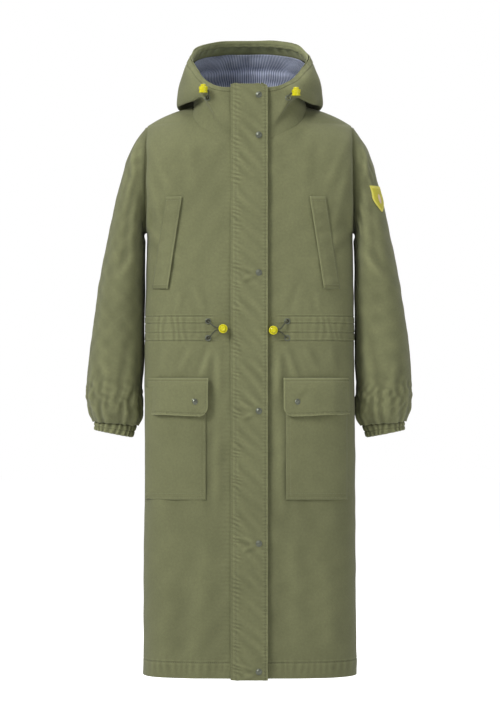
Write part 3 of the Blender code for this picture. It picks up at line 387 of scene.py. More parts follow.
def softened(relief, closed):
    """The relief averaged over a few cells each way."""
    for axis, span in ((0, 4), (1, 3)):
        mode = "wrap" if closed and axis == 1 else "edge"
        wide = np.pad(relief, [(span, span) if k == axis else (0, 0) for k in (0, 1)], mode=mode)
        total = np.cumsum(np.insert(wide, 0, 0.0, axis=axis), axis=axis)
        size = 2 * span + 1
        high = np.take(total, range(size, total.shape[axis]), axis=axis)
        relief = (high - np.take(total, range(total.shape[axis] - size), axis=axis)) / size
    return relief


def facing(grid, normal, middle):
    """Turns the normals so that they point away from a vertical axis."""
    away = grid - np.array((*middle, 0.0))
    away[..., 2] = 0
    return normal if float((normal * away).sum()) > 0 else -normal


# ---------------------------------------------------------------- materials


def new_material(name):
    mat = bpy.data.materials.new(name)
    mat.use_nodes = True
    return mat, mat.node_tree, mat.node_tree.nodes["Principled BSDF"]


def preset(node, **values):
    """Sets sockets by name, with an underscore for each space in the name."""
    for key, value in values.items():
        node.inputs[key.replace("_", " ")].default_value = value


def add(tree, kind, **settings):
    node = tree.nodes.new(kind)
    for key, value in settings.items():
        setattr(node, key, value)
    return node


def feed(tree, socket, value):
    """Sets a socket to a value, or links another socket to it."""
    if isinstance(value, bpy.types.NodeSocket):
        tree.links.new(value, socket)
    else:
        socket.default_value = value


def noise(tree, scale, detail=3.0, roughness=0.55):
    node = add(tree, "ShaderNodeTexNoise")
    preset(node, Scale=scale, Detail=detail, Roughness=roughness)
    feed(tree, node.inputs["Vector"], add(tree, "ShaderNodeTexCoord").outputs["Object"])
    return node.outputs["Fac"]


def remap(tree, value, low, high, to_low, to_high):
    node = add(tree, "ShaderNodeMapRange")
    preset(node, From_Min=low, From_Max=high, To_Min=to_low, To_Max=to_high)
    feed(tree, node.inputs["Value"], value)
    return node.outputs["Result"]


def math_node(tree, operation, a, b):
    node = add(tree, "ShaderNodeMath", operation=operation)
    for socket, value in zip(node.inputs, (a, b)):
        feed(tree, socket, value)
    return node.outputs[0]


def tinted(tree, colour, factor):
    """A colour multiplied by a grey factor."""
    node = add(tree, "ShaderNodeVectorMath", operation="SCALE")
    feed(tree, node.inputs[0], colour)
    feed(tree, node.inputs["Scale"], factor)
    return node.outputs[0]


def add_bump(tree, shader, height, strength, distance):
    node = add(tree, "ShaderNodeBump")
    preset(node, Strength=strength, Distance=distance)
    feed(tree, node.inputs["Height"], height)
    feed(tree, shader.inputs["Normal"], node.outputs["Normal"])


def cloth_look(name, colour, thread=0.0009, contrast=1.0, stripe=None, sheen=0.12):
    """Woven cotton: yarns, slubs and uneven garment dye, scaled by the mesh's tone attribute, which carries
    wear on ridges and edges and painted shade in folds, seams and hollows.
    """
    mat, tree, shader = new_material(name)
    tone = add(tree, "ShaderNodeAttribute", attribute_name="tone")
    uv = add(tree, "ShaderNodeUVMap", uv_map="Cloth").outputs["UV"]
    weave = []
    for direction in ("X", "Y"):
        wave = add(tree, "ShaderNodeTexWave", bands_direction=direction)
        preset(wave, Scale=0.314 / thread, Distortion=1.2, Detail_Scale=2.0)
        feed(tree, wave.inputs["Vector"], uv)
        weave.append(wave.outputs["Fac"])
    yarns = math_node(tree, "MULTIPLY", *weave)
    fine = noise(tree, 900.0, 2.0)
    slub = noise(tree, 220.0, 4.0, 0.6)
    dye = noise(tree, 17.0)
    factor = remap(tree, fine, 0.3, 0.7, 1 - 0.07 * contrast, 1 + 0.07 * contrast)
    for value, swing in ((slub, 0.10), (dye, 0.06), (yarns, 0.05)):
        swing *= contrast
        factor = math_node(tree, "MULTIPLY", factor, remap(tree, value, 0.25, 0.75, 1 - swing, 1 + swing))
    factor = math_node(tree, "MULTIPLY", factor, remap(tree, tone.outputs["Fac"], 0, 1, 0.45, 1.55))
    if stripe:
        period, pale = stripe
        split = add(tree, "ShaderNodeSeparateXYZ")
        feed(tree, split.inputs[0], uv)
        turn = math_node(tree, "MULTIPLY", split.outputs["X"], 2 * math.pi / period)
        mix = add(tree, "ShaderNodeMix", data_type="RGBA")
        feed(tree, mix.inputs["Factor"], remap(tree, math_node(tree, "SINE", turn, 0), -0.1, 0.55, 0, 1))
        mix.inputs["A"].default_value = (*colour, 1)
        mix.inputs["B"].default_value = (*pale, 1)
        colour = mix.outputs["Result"]
    feed(tree, shader.inputs["Base Color"], tinted(tree, colour, factor))
    feed(tree, shader.inputs["Roughness"], remap(tree, slub, 0.3, 0.7, 0.78, 0.96))
    height = math_node(tree, "ADD", yarns, math_node(tree, "MULTIPLY", fine, 1.2))
    add_bump(tree, shader, height, 0.5, 0.00025)
    preset(shader, Sheen_Weight=sheen, Sheen_Roughness=0.5, Specular_IOR_Level=0.25)
    return mat


def hard_look(name, colour, roughness, metallic=0.0, grain=400.0, swing=0.12, coat=0.0):
    """Moulded plastic or plated metal, with fine grain and handling wear."""
    mat, tree, shader = new_material(name)
    rub = noise(tree, grain, 4.0)
    dots = noise(tree, grain * 6, 2.0)
    shade = remap(tree, rub, 0.3, 0.7, 1 - swing, 1 + swing)
    feed(tree, shader.inputs["Base Color"], tinted(tree, colour, shade))
    feed(tree, shader.inputs["Roughness"], remap(tree, rub, 0.3, 0.7, roughness * 0.8, roughness * 1.3))
    preset(shader, Metallic=metallic, Coat_Weight=coat)
    add_bump(tree, shader, dots, 0.15, 0.0001)
    return mat


CANVAS = cloth_look("canvas", (0.200, 0.208, 0.103))
# Painted shade: a darker copy of the shell canvas, for the cloth sheets' inner faces.
CANVAS_INSIDE_SHADED = cloth_look("canvas_inside_shaded", (0.115, 0.125, 0.060))
LINING_CLOTH = cloth_look("lining_stripe", (0.135, 0.165, 0.245), contrast=0.5, sheen=0.05,
                          stripe=(0.0038, (0.60, 0.63, 0.75)))
# Painted light: the facing is the shell's canvas, made paler than it to lift the shade inside the hood.
FACING_LIGHTENED = cloth_look("hood_facing_canvas_lightened", (0.285, 0.300, 0.150))
THREAD = cloth_look("thread", (0.265, 0.270, 0.155), thread=0.0004, contrast=0.8)
TAPE = cloth_look("tape", (0.10, 0.11, 0.06), thread=0.0006)
CORDING = cloth_look("cord_braid", (0.085, 0.092, 0.060), thread=0.0005, contrast=1.6)
BADGE_FIELD = cloth_look("badge_field", (0.62, 0.56, 0.06), thread=0.0007, contrast=0.7)
BADGE_EDGE = cloth_look("badge_edge", (0.80, 0.74, 0.14), thread=0.0006, contrast=0.7)
BADGE_MARK = cloth_look("badge_mark", (0.78, 0.62, 0.45), thread=0.0006, contrast=0.7)
YELLOW = hard_look("lock_yellow", (0.72, 0.66, 0.006), 0.25, grain=250.0, swing=0.06, coat=0.4)
GUNMETAL = hard_look("gunmetal", (0.20, 0.215, 0.17), 0.34, metallic=1.0, grain=500.0)
ZIP_METAL = hard_look("zip_metal", (0.42, 0.39, 0.30), 0.30, metallic=1.0)
ZIP_TEETH = hard_look("zip_teeth", (0.07, 0.07, 0.06), 0.35)
# Painted shade: a near-black disc stands in for the shadow inside each eyelet's hole.
HOLE_SHADE = hard_look("painted_shade_bore", (0.03, 0.03, 0.01), 0.6)

# ---------------------------------------------------------------- meshes


def show(name, mesh, look):
    """Puts a mesh in the scene as an object with one material."""
    obj = bpy.data.objects.new(name, mesh)
    bpy.context.scene.collection.objects.link(obj)
    mesh.materials.append(look)
    return obj


def even_normals(mesh):
    """Turns all faces the same way out."""
    bm = bmesh.new()
    bm.from_mesh(mesh)
    bmesh.ops.recalc_face_normals(bm, faces=bm.faces)
    bm.to_mesh(mesh)
    bm.free()


def cloth_layers(mesh, uvs, tone):
    """Gives the vertices cloth coordinates in metres, and the tone that the weave reads."""
    layer = mesh.uv_layers.new(name="Cloth")
    corner = np.zeros(len(mesh.loops), int)
    mesh.loops.foreach_get("vertex_index", corner)
    layer.data.foreach_set("uv", np.asarray(uvs, np.float32)[corner].ravel())
    attribute = mesh.attributes.new("tone", "FLOAT", "POINT")
    attribute.data.foreach_set("value", np.broadcast_to(tone, len(mesh.vertices)).astype(np.float32))
    mesh.shade_smooth()


def standing(origin, axis):
    """The matrix that sets a turned piece's foot at origin and its height along axis."""
    return Matrix.Translation(Vector(origin)) @ Vector(axis).to_track_quat("Z", "Y").to_matrix().to_4x4()


def cloth(name, grid, thickness, look, middle=(0, MID_Y), relief=None, tone=0.0, closed=False,
          inner_look=None):
    """A sheet of cloth with both faces and its edges: the grid is its outer face."""
    rows, columns = grid.shape[:2]
    normal = facing(grid, grid_normals(grid, closed), middle)
    shade = np.full((rows, columns), PLAIN_TONE)
    if relief is not None:
        grid = grid + normal * relief[..., None]
        normal = facing(grid, grid_normals(grid, closed), middle)
        # Painted shade in the relief's valleys, with paler ridges as wear.
        shade += np.clip(FOLD_WEAR_AND_SHADE * (relief - softened(relief, closed)), -0.16, 0.20)
    shade = (shade + tone).ravel()
    inner = grid - normal * thickness
    verts = np.concatenate((grid.reshape(-1, 3), inner.reshape(-1, 3)))
    index = np.arange(rows * columns).reshape(rows, columns)
    ahead = np.roll(index, -1, axis=1) if closed else index[:, 1:]
    here = index if closed else index[:, :-1]
    quads = np.stack((here[:-1], ahead[:-1], ahead[1:], here[1:]), -1).reshape(-1, 4)
    sample = quads[len(quads) // 2]
    flat = grid.reshape(-1, 3)
    way = np.cross(flat[sample[1]] - flat[sample[0]], flat[sample[3]] - flat[sample[0]])
    if way @ normal.reshape(-1, 3)[sample[0]] < 0:
        quads = quads[:, ::-1]
    other = rows * columns
    faces = [quads, quads[:, ::-1] + other]
    rims = [index[0], index[-1]] if closed else [index[0], index[-1], index[:, 0], index[:, -1]]
    for line in rims:
        a = line if closed else line[:-1]
        b = np.roll(line, -1) if closed else line[1:]
        faces.append(np.stack((a, b, b + other, a + other), -1))
    across = np.linalg.norm(np.diff(grid, axis=1), axis=-1)
    down = np.linalg.norm(np.diff(grid, axis=0), axis=-1)
    u = np.concatenate((np.zeros((rows, 1)), np.cumsum(across, 1)), 1)
    u = np.broadcast_to(u[rows // 2], (rows, columns))
    v = np.concatenate((np.zeros((1, columns)), np.cumsum(down, 0)), 0)
    uvs = np.stack((u, v), -1).reshape(-1, 2)
    mesh = bpy.data.meshes.new(name)
    mesh.from_pydata(verts.tolist(), [], np.concatenate(faces).tolist())
    mesh.validate()
    cloth_layers(mesh, np.concatenate((uvs, uvs)), np.concatenate((shade, shade)))
    even_normals(mesh)
    obj = show(name, mesh, look)
    if inner_look:
        mesh.materials.append(inner_look)
        slots = np.zeros(len(mesh.polygons), np.int32)
        slots[len(quads):2 * len(quads)] = 1
        mesh.polygons.foreach_set("material_index", slots)
    return obj, grid, normal


SHARP = math.radians(38)


def turned(name, profile, origin, axis, look, segments=40):
    """A turned piece: radius and height in millimetres, from pole to pole."""
    verts, faces, rings = [], [], []
    for radius, height in profile:
        ring = []
        for k in range(1 if radius == 0 else segments):
            angle = 2 * math.pi * k / segments
            ring.append(len(verts))
            verts.append((radius * math.cos(angle) / 1000, radius * math.sin(angle) / 1000, height / 1000))
        rings.append(ring)
    for low, high in zip(rings, rings[1:]):
        for k in range(segments):
            m = (k + 1) % segments
            corners = [low[k % len(low)], low[m % len(low)], high[m % len(high)], high[k % len(high)]]
            faces.append(list(dict.fromkeys(corners)))
    mesh = bpy.data.meshes.new(name)
    mesh.from_pydata(verts, [], faces)
    mesh.transform(standing(origin, axis))
    mesh.shade_smooth()
    mesh.set_sharp_from_angle(angle=SHARP)
    even_normals(mesh)
    return show(name, mesh, look)


def arc(radius_from, height_from, radius_to, height_to, steps=6):
    """Profile points on a quarter of an ellipse that starts upright and ends level."""
    turns = [math.pi / 2 * k / steps for k in range(steps + 1)]
    return [(radius_to + (radius_from - radius_to) * math.cos(a),
             height_from + (height_to - height_from) * math.sin(a)) for a in turns]


def tube(name, points, radius, look, sides=12, spacing=0.0012):
    """A braided cord along a smooth curve through its route's points."""
    points = [np.asarray(p, float) for p in points]
    keys = np.cumsum([0] + [np.linalg.norm(b - a) for a, b in zip(points, points[1:])])
    count = int(keys[-1] / spacing)
    line = follow([(k, *p) for k, p in zip(keys, points)], np.linspace(0, keys[-1], count))
    tangent = np.gradient(line, axis=0)
    tangent /= np.linalg.norm(tangent, axis=1, keepdims=True)
    up = np.array((0.13, 0.2, 0.97))
    side = np.cross(tangent, up)
    side /= np.linalg.norm(side, axis=1, keepdims=True)
    other = np.cross(tangent, side)
    turns = 2 * math.pi * np.arange(sides) / sides
    along = np.arange(count)[:, None] * spacing
    swell = radius * (1 + 0.07 * np.sin(turns * 3 + along * 2600) * np.sin(turns * 3 - along * 2600))
    ring = side[:, None] * np.cos(turns)[None, :, None] + other[:, None] * np.sin(turns)[None, :, None]
    verts = (line[:, None] + ring * swell[..., None]).reshape(-1, 3)
    index = np.arange(count * sides).reshape(count, sides)
    ahead = np.roll(index, -1, axis=1)
    faces = np.stack((index[:-1], ahead[:-1], ahead[1:], index[1:]), -1).reshape(-1, 4).tolist()
    faces += [index[0][::-1].tolist(), index[-1].tolist()]
    mesh = bpy.data.meshes.new(name)
    mesh.from_pydata(verts.tolist(), [], faces)
    uvs = np.stack(np.broadcast_arrays(along, turns[None, :] * radius), -1).reshape(-1, 2)
    cloth_layers(mesh, uvs, PLAIN_TONE)
    even_normals(mesh)
    return show(name, mesh, look)


STITCH, STITCH_GAP, STITCH_R = 0.0026, 0.0011, 0.00042


def along_line(key, keys, values):
    """The row of values at key, between the rows at keys."""
    return np.array([np.interp(key, keys, column) for column in values.T])


def stitches(name, lines):
    """Rows of sewn stitches: each line is an array of points on the cloth and one of normals."""
    verts, faces = [], []
    shape = [(-1, 0, 0), (0, 1, 0), (0, 0, 1), (0, -1, 0), (0, 0, -1), (1, 0, 0)]
    sides = [(0, 2, 1), (0, 3, 2), (0, 4, 3), (0, 1, 4), (5, 1, 2), (5, 2, 3), (5, 3, 4), (5, 4, 1)]
    for points, normals in lines:
        keys = np.concatenate(([0], np.cumsum(np.linalg.norm(np.diff(points, axis=0), axis=1))))
        for start in np.arange(0, keys[-1] - STITCH, STITCH + STITCH_GAP):
            a, b = (along_line(start + reach, keys, points) for reach in (0, STITCH))
            n = along_line(start, keys, normals)
            along = (b - a) / 2
            across = np.cross(along, n)
            across *= STITCH_R / max(np.linalg.norm(across), 1e-9)
            n = n / max(np.linalg.norm(n), 1e-9) * STITCH_R
            base = len(verts)
            middle = (a + b) / 2 + n * 0.35
            verts += [middle + along * s[0] + across * s[1] + n * s[2] for s in shape]
            faces += [tuple(base + k for k in face) for face in sides]
    mesh = bpy.data.meshes.new(name)
    mesh.from_pydata([tuple(v) for v in verts], [], faces)
    cloth_layers(mesh, np.zeros((len(verts), 2)), PLAIN_TONE)
    return show(name, mesh, THREAD)


def settle(obj, body, slot, *nodes):
    """Rides a piece on a body and hides the imported parts that it stands for; slot is not used."""
    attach(obj, body)
    if nodes:
        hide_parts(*nodes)


def bend(obj, bodies, start, end, slot, *nodes):
    """Bakes a piece's placement into its mesh and hides the imported parts that it stands for; bodies,
    start, end and slot are not used.
    """
    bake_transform(obj)
    if nodes:
        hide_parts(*nodes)


# ---------------------------------------------------------------- torso


def square_rows(*bands):
    """Row shares below the chest for bands of height: each has its lowest z and its row spacing."""
    shares, top = [np.linspace(0, SQUARE_ROW, 130)], OUTER_ROW[-1][1]
    for low, spacing in bands:
        heights = np.linspace(top, low, int((top - low) / spacing) + 1)[1:]
        run = (OUTER_ROW[-1][1] - heights) / (OUTER_ROW[-1][1] - HEM_Z)
        shares.append(SQUARE_ROW + (1 - SQUARE_ROW) * run)
        top = low
    return np.concatenate(shares)


FRONT_ROWS = square_rows((-0.425, 0.0024), (-0.495, 0.0008), (-1.095, 0.0026), (HEM_Z, 0.0011))
BACK_ROWS = square_rows((-0.425, 0.004), (-0.495, 0.0008), (-1.095, 0.0045), (HEM_Z, 0.0012))


def channel_relief(across, z, seed):
    """The waist drawcord's tunnel: rows of stitching with fine gathers between them."""
    inside = smooth(z, CHANNEL_LINES[3] - 0.002, CHANNEL_LINES[3] + 0.003)
    inside *= 1 - smooth(z, CHANNEL_LINES[0] - 0.003, CHANNEL_LINES[0] + 0.002)
    gather = ripples(across, 0.0135, 2.6 * waves(across, z * 0.5, seed, 0.035))
    patchy = 0.55 + 0.45 * waves(across, z * 0.1, seed + 7, 0.09)
    beside = near(z, (CHANNEL_LINES[0] + CHANNEL_LINES[3]) / 2, 0.028) * (1 - inside)
    relief = 0.0006 * inside + gather * patchy * (0.00048 * inside + 0.00022 * beside)
    for line in CHANNEL_LINES:
        relief = relief - 0.0009 * near(z, line, 0.0012) + 0.0003 * near(z, line + 0.0026, 0.0012)
    return relief


def hem_relief(across, z, seed):
    """The turned hem: a double layer below its stitching, slightly puckered."""
    below = 1 - smooth(z, HEM_LINE - 0.002, HEM_LINE + 0.002)
    pucker = ripples(across, 0.013, 2 * waves(across, z * 0.4, seed, 0.05))
    line = 0.0009 * near(z, HEM_LINE, 0.0012) - 0.0003 * near(z, HEM_LINE + 0.0028, 0.0012)
    return 0.0004 * below + 0.00035 * pucker * near(z, HEM_LINE - 0.009, 0.014) - line


FRONT_CREASES = [
    ((0.196, -0.085), (0.150, -0.190), 0.010, 0.0014), ((0.196, -0.150), (0.165, -0.270), 0.009, 0.0012),
    ((0.190, -0.260), (0.130, -0.330), 0.011, 0.0013), ((0.120, -0.070), (0.105, -0.190), 0.013, 0.0010),
    ((0.070, -0.495), (0.095, -0.560), 0.008, 0.0013), ((0.060, -0.500), (0.058, -0.590), 0.008, 0.0014),
    ((0.110, -0.495), (0.135, -0.545), 0.008, 0.0009), ((0.160, -0.490), (0.170, -0.550), 0.009, 0.0009),
    ((0.090, -0.425), (0.110, -0.370), 0.009, 0.0008), ((0.140, -0.425), (0.135, -0.385), 0.007, 0.0007),
    ((0.060, -0.640), (0.064, -0.820), 0.010, 0.0014), ((0.190, -0.700), (0.150, -0.900), 0.018, 0.0014),
    ((0.080, -0.860), (0.100, -1.080), 0.020, 0.0016), ((0.150, -0.930), (0.165, -1.100), 0.018, 0.0014)]
BACK_CREASES = [((0.19, -0.10), (0.13, -0.26), 0.012, 0.0016), ((0.19, -0.24), (0.11, -0.34), 0.013, 0.0016),
                ((0.10, -0.50), (0.13, -0.66), 0.014, 0.0018), ((0.04, -0.50), (0.05, -0.70), 0.014, 0.0014)]
SIDE_SEAM_DROP = 0.0011
TOP_FADE_ROWS = 22


def front_folds(x, z, side):
    """Everything that moves a front panel's cloth, before its edges are fixed down."""
    reach = np.abs(x - FRONT_X)
    skirt = smooth(-z, 0.50, 0.80)
    relief = 0.0011 * waves(x, z * 0.35, 11 + side, 0.16) + 0.0005 * waves(x, z, 21 + side, 0.05)
    relief = relief + 0.0014 * skirt * waves(x, z * 0.12, 31 + side, 0.09, spread=0.6)
    relief = relief + channel_relief(x, z, 41 + side) * smooth(reach, 0.050, 0.075)
    relief = relief + hem_relief(x, z, 51 + side)
    sewn = near(reach, 0.036, 0.013) if side == RIGHT else 0.3 * near(reach, 0.048, 0.007)
    pucker = ripples(z, 0.0088, 1.5 * waves(x * 0.3, z, 61 + side, 0.03))
    relief = relief + 0.00024 * sewn * pucker * (0.7 + 0.4 * waves(x * 0.2, z, 63 + side, 0.07))
    return creased(relief, side * x + 0.004 * side, z, FRONT_CREASES)


def front_relief(grid, side):
    relief = front_folds(grid[..., 0], grid[..., 2], side)
    rows, columns = relief.shape
    relief = relief - SIDE_SEAM_DROP * smooth(np.linspace(0, 1, columns), 0.985, 1.0)
    neck = 1 - smooth(FRONT_ROWS[:, None], NECK_ROW, NECK_ROW + 0.03)
    inner_fade = 1 - neck * (1 - smooth(np.arange(columns), 0, 9))
    return relief * smooth(np.arange(rows)[:, None], 0, TOP_FADE_ROWS) * inner_fade


def make_fronts():
    """The two front panels, with the waist tunnel, the hem and their folds."""
    for side in (LEFT, RIGHT):
        label = SIDE_NAMES[side]
        grid = torso_grid(front_y, FRONT_INNER, side, FRONT_X + side * FRONT_GAP, FRONT_ROWS, 80)
        tone = skirt_shade(grid[..., 2], 0.105) + 0.02 * waves(grid[..., 0], grid[..., 2], 5, 0.25)
        obj, _, _ = cloth(f"coat_front_{label}", grid, SHELL, CANVAS, relief=front_relief(grid, side),
                          tone=tone, inner_look=CANVAS_INSIDE_SHADED)
        settle(obj, "torso", "canvas", f"front_{label}_panel")


def make_back():
    """The back in one piece, side seam to side seam."""
    halves = [torso_grid(back_y, BACK_INNER, side, 0, BACK_ROWS, 46) for side in (RIGHT, LEFT)]
    grid = np.concatenate((halves[0][:, ::-1], halves[1][:, 1:]), 1)
    x, z = grid[..., 0], grid[..., 2]
    relief = 0.0013 * waves(x, z * 0.3, 71, 0.15) + 0.0003 * waves(x, z, 72, 0.09)
    relief = relief + 0.0018 * smooth(-z, 0.5, 0.85) * waves(x, z * 0.1, 73, 0.10, spread=0.5)
    relief = relief + channel_relief(x, z, 74) + hem_relief(x, z, 75)
    for side in (LEFT, RIGHT):
        relief = creased(relief, side * x + 0.003 * side, z, BACK_CREASES)
    rows, columns = x.shape
    relief = relief - SIDE_SEAM_DROP * smooth(np.abs(np.linspace(-1, 1, columns)), 0.99, 1.0)
    relief = relief * smooth(np.arange(rows)[:, None], 0, TOP_FADE_ROWS)
    tone = skirt_shade(z, 0.08)
    obj, _, _ = cloth("coat_back", grid, SHELL, CANVAS, relief=relief, tone=tone, inner_look=CANVAS_INSIDE_SHADED)
    settle(obj, "torso", "canvas", "back_panel")


def make_shoulder_seams():
    """Tape under the seam that joins the front to the back over each shoulder."""
    for side in (LEFT, RIGHT):
        x = side * np.linspace(0.113, 0.2022, 50)[None, :]
        y = MID_Y + np.linspace(-0.007, 0.007, 9)[:, None]
        drop = 0.0007 + 0.0009 * ((y - MID_Y) / 0.007) ** 2
        grid = np.stack(np.broadcast_arrays(x, y, shoulder_z(x) - drop), -1)
        obj, _, _ = cloth(f"shoulder_tape_{SIDE_NAMES[side]}", grid, 0.0008, CANVAS, middle=(0, 0.6))
        settle(obj, "torso", "canvas")


def make_body_lining():
    """Two halves, each from the front opening round the side to the centre back."""
    rows = np.concatenate((np.linspace(0.01, SQUARE_ROW, 40), np.linspace(SQUARE_ROW, 1, 60)[1:]))
    for side in (LEFT, RIGHT):
        front, back = (torso_grid(surface, inner, side, centre, rows, 24, HEM_Z + 0.035, LINING_INSET)
                       for surface, inner, centre in ((front_y, FRONT_INNER, FRONT_X + side * 0.012),
                                                      (back_y, BACK_INNER, 0)))
        one, two = (front, back) if side == LEFT else (back, front)
        grid = np.concatenate((one, two[:, -2::-1]), 1)
        seed = 80 if side == LEFT else 81
        relief = 0.0008 * waves(grid[..., 0] + grid[..., 1], grid[..., 2] * 0.3, seed, 0.08)
        obj, _, _ = cloth(f"lining_{SIDE_NAMES[side]}", grid, LINING, LINING_CLOTH, relief=relief - 0.0005)
        settle(obj, "torso", "lining", *(["body_lining"] if side == LEFT else []))


ZIP_TOP_Z, ZIP_LENGTH = 0.012, 1.10
TOOTH_PITCH = 0.0024


def make_zip_teeth(side):
    """Blocks that narrow towards the middle, half a pitch apart on the two sides."""
    verts, faces = [], []
    block = [(a, b, c) for c in (-1, 1) for a, b in ((0, 0), (1, 0), (1, 1), (0, 1))]
    sides = [(0, 3, 2, 1), (4, 5, 6, 7), (0, 1, 5, 4), (1, 2, 6, 5), (2, 3, 7, 6), (3, 0, 4, 7)]
    first = ZIP_TOP_Z - 0.002 - (TOOTH_PITCH / 2 if side == LEFT else 0)
    for k in range(int(ZIP_LENGTH / TOOTH_PITCH)):
        base = len(verts)
        for a, b, c in block:
            x = FRONT_X + side * (0.0004 + 0.0026 * a)
            z = first - k * TOOTH_PITCH + (2 * b - 1) * (0.00062 - 0.00018 * a)
            verts.append(tuple(zip_plane(x, z, -0.0004 + 0.0013 * c)))
        faces += [tuple(base + i for i in face) for face in sides]
    name = f"zip_teeth_{SIDE_NAMES[side]}"
    mesh = bpy.data.meshes.new(name)
    mesh.from_pydata(verts, [], faces)
    teeth = show(name, mesh, ZIP_TEETH)
    teeth.modifiers.new("soft", "BEVEL").width = 0.0002
    settle(teeth, "torso", "zip_plastic")


def make_zip():
    """Moulded teeth on woven tape, a slider and its pull."""
    heights = np.linspace(ZIP_TOP_Z, -ZIP_LENGTH, 260)
    for side in (LEFT, RIGHT):
        label = SIDE_NAMES[side]
        across = FRONT_X + side * np.linspace(0.0016, 0.0057, 4)
        tape = zip_plane(across[None, :], heights[:, None], -0.0004)
        obj, _, _ = cloth(f"zip_tape_{label}", tape, 0.0009, TAPE, middle=(0, 0.5))
        settle(obj, "torso", "zip_plastic", f"zip_chain_{label}")
        make_zip_teeth(side)
    for node in ("zip_slider", "zip_pull"):
        materials = bpy.data.objects[node].data.materials
        materials.clear()
        materials.append(ZIP_METAL)


def make_snap_studs():
    """The snaps' inner halves, through the left front."""
    profile = [(0, -3.3), (4.2, -3.3), (4.5, -3.0), (4.5, -2.3), (4.3, -2.1), (1.7, -2.1), (1.7, 0.4)]
    profile += [(4.3, 0.4), (4.4, 0.6), (4.4, 1.0)] + arc(4.4, 1.0, 2.2, 1.5, 4)
    profile += [(1.6, 1.9), (1.5, 3.2), (1.9, 4.0), (1.7, 4.8), (1.2, 5.0), (0, 5.0)]
    for index, z in enumerate(SNAP_HEIGHTS, 1):
        stud = turned(f"stud_{index}", profile, zip_plane(SNAP_X, z, 0), ZIP_NORMAL, GUNMETAL, 28)
        settle(stud, "torso", "snap_metal", f"snap_stud_{index}")


def make_hanger_loop():
    """A short woven loop that sags between its two ends."""
    shares = np.linspace(-1, 1, 60)
    y = -0.0022 - 0.0028 * (1 - shares**2)
    z = -0.005 * shares**2
    drop = np.linspace(0, -0.005, 8)
    grid = np.stack(np.broadcast_arrays(0.022 * shares[None, :], y[None, :], z[None, :] + drop[:, None]), -1)
    relief = 0.00015 * ripples(drop[:, None], 0.0012) * np.ones((1, 60))
    obj, _, _ = cloth("loop_tape", grid, 0.0012, TAPE, middle=(0, 0.2), relief=relief)
    settle(obj, "torso", "loop_tape", "hanger_loop")


# ---------------------------------------------------------------- placket


PLACKET_CORNER = 0.009
FOLDED = 0.0022
SEWN_ROWS, FREE_ROW = (0.0030, 0.0100), 0.0050


def placket_free_edge(z):
    below = np.clip((PLACKET_TOP_Z - z) / PLACKET_CORNER, 0, 1)
    return PLACKET_FREE_X - PLACKET_CORNER + PLACKET_CORNER * np.sqrt(1 - (1 - below) ** 2)


def placket_rise(across):
    """The placket lifts off the front beside its sewn edge, to clear the snaps and the zip."""
    return 0.0029 + 0.0058 * smooth(across, -0.02, 0.24)


def placket_surface(across, z):
    """Points on the placket's outer face: across runs from its sewn edge, 0, to its free edge, 1."""
    x = PLACKET_SEWN_X + (placket_free_edge(z) - PLACKET_SEWN_X) * across
    here, from_free = x - PLACKET_SEWN_X, placket_free_edge(z) - x
    pucker = ripples(z + 0.42 * here, 0.0088, 2.3 * waves(x * 0.4, z, 91, 0.024))
    uneven = 0.62 + 0.62 * waves(x * 0.1, z, 92, 0.05)
    sewn = near(here, 0.011, 0.009) * (1 - 0.5 * near(here, 0.0035, 0.002))
    free = near(from_free, 0.006, 0.006)
    quick = ripples(z, 0.0070, 1.5 * waves(x * 0.4, z, 93, 0.02))
    relief = 0.00115 * pucker * uneven * sewn + 0.00036 * quick * free
    diagonal = waves(x * 0.9 + z * 0.9, z * 0.35 - x * 0.3, 94, 0.028, spread=0.9)
    relief = relief + 0.00105 * diagonal * smooth(here, 0.006, 0.022) * (1 - 0.5 * free)
    relief = relief + 0.0009 * waves(x, z, 95, 0.11)
    for snap in SNAP_HEIGHTS[2:]:
        pulls = [((SNAP_X - 0.006, snap + dz * 0.1), (SNAP_X - dx, snap + dz), 0.005, height)
                 for dx, dz, height in ((0.040, 0.016, 0.0014), (0.034, -0.014, 0.0012))]
        dimple = np.exp(-(((x - SNAP_X) ** 2 + (z - snap) ** 2) / 0.011**2))
        relief = creased(relief, x, z, pulls) * (1 - 0.7 * dimple) - 0.0008 * dimple
    for inset in SEWN_ROWS:
        relief = relief - 0.0007 * near(here, inset, 0.0010)
    relief = relief - 0.0006 * near(from_free, FREE_ROW, 0.0009)
    roll = 1 - np.clip(from_free / 0.0016, 0, 1)
    return x, placket_rise(across) + relief - 0.0009 * (1 - np.sqrt(1 - roll**2)), z


def placket_tone(x, z, relief):
    """Paler folds and edges as wear, with painted shade in the fold valleys, along the sewn edge and in the
    stitch holes.
    """
    from_free = placket_free_edge(z) - x
    tone = np.clip(FOLD_WEAR_AND_SHADE * (relief - softened(relief, False)), -0.16, 0.16)
    tone = tone + 0.010 * waves(x, z, 7, 0.12) + skirt_shade(z, 0.075, 0.45, 0.85)
    stitch = 0.5 + 0.5 * ripples(z, 0.0042)
    # Painted shade in the stitch rows and along the sewn edge; the free edge paler as wear.
    tone = tone + 0.22 * near(from_free, 0.0, 0.0022) - 0.16 * stitch * near(from_free, FREE_ROW, 0.0012)
    for inset in SEWN_ROWS:
        tone = tone - 0.13 * stitch * near(x - PLACKET_SEWN_X, inset, 0.0012)
    return tone - 0.05 * near(x - PLACKET_SEWN_X, 0.0, 0.0018)


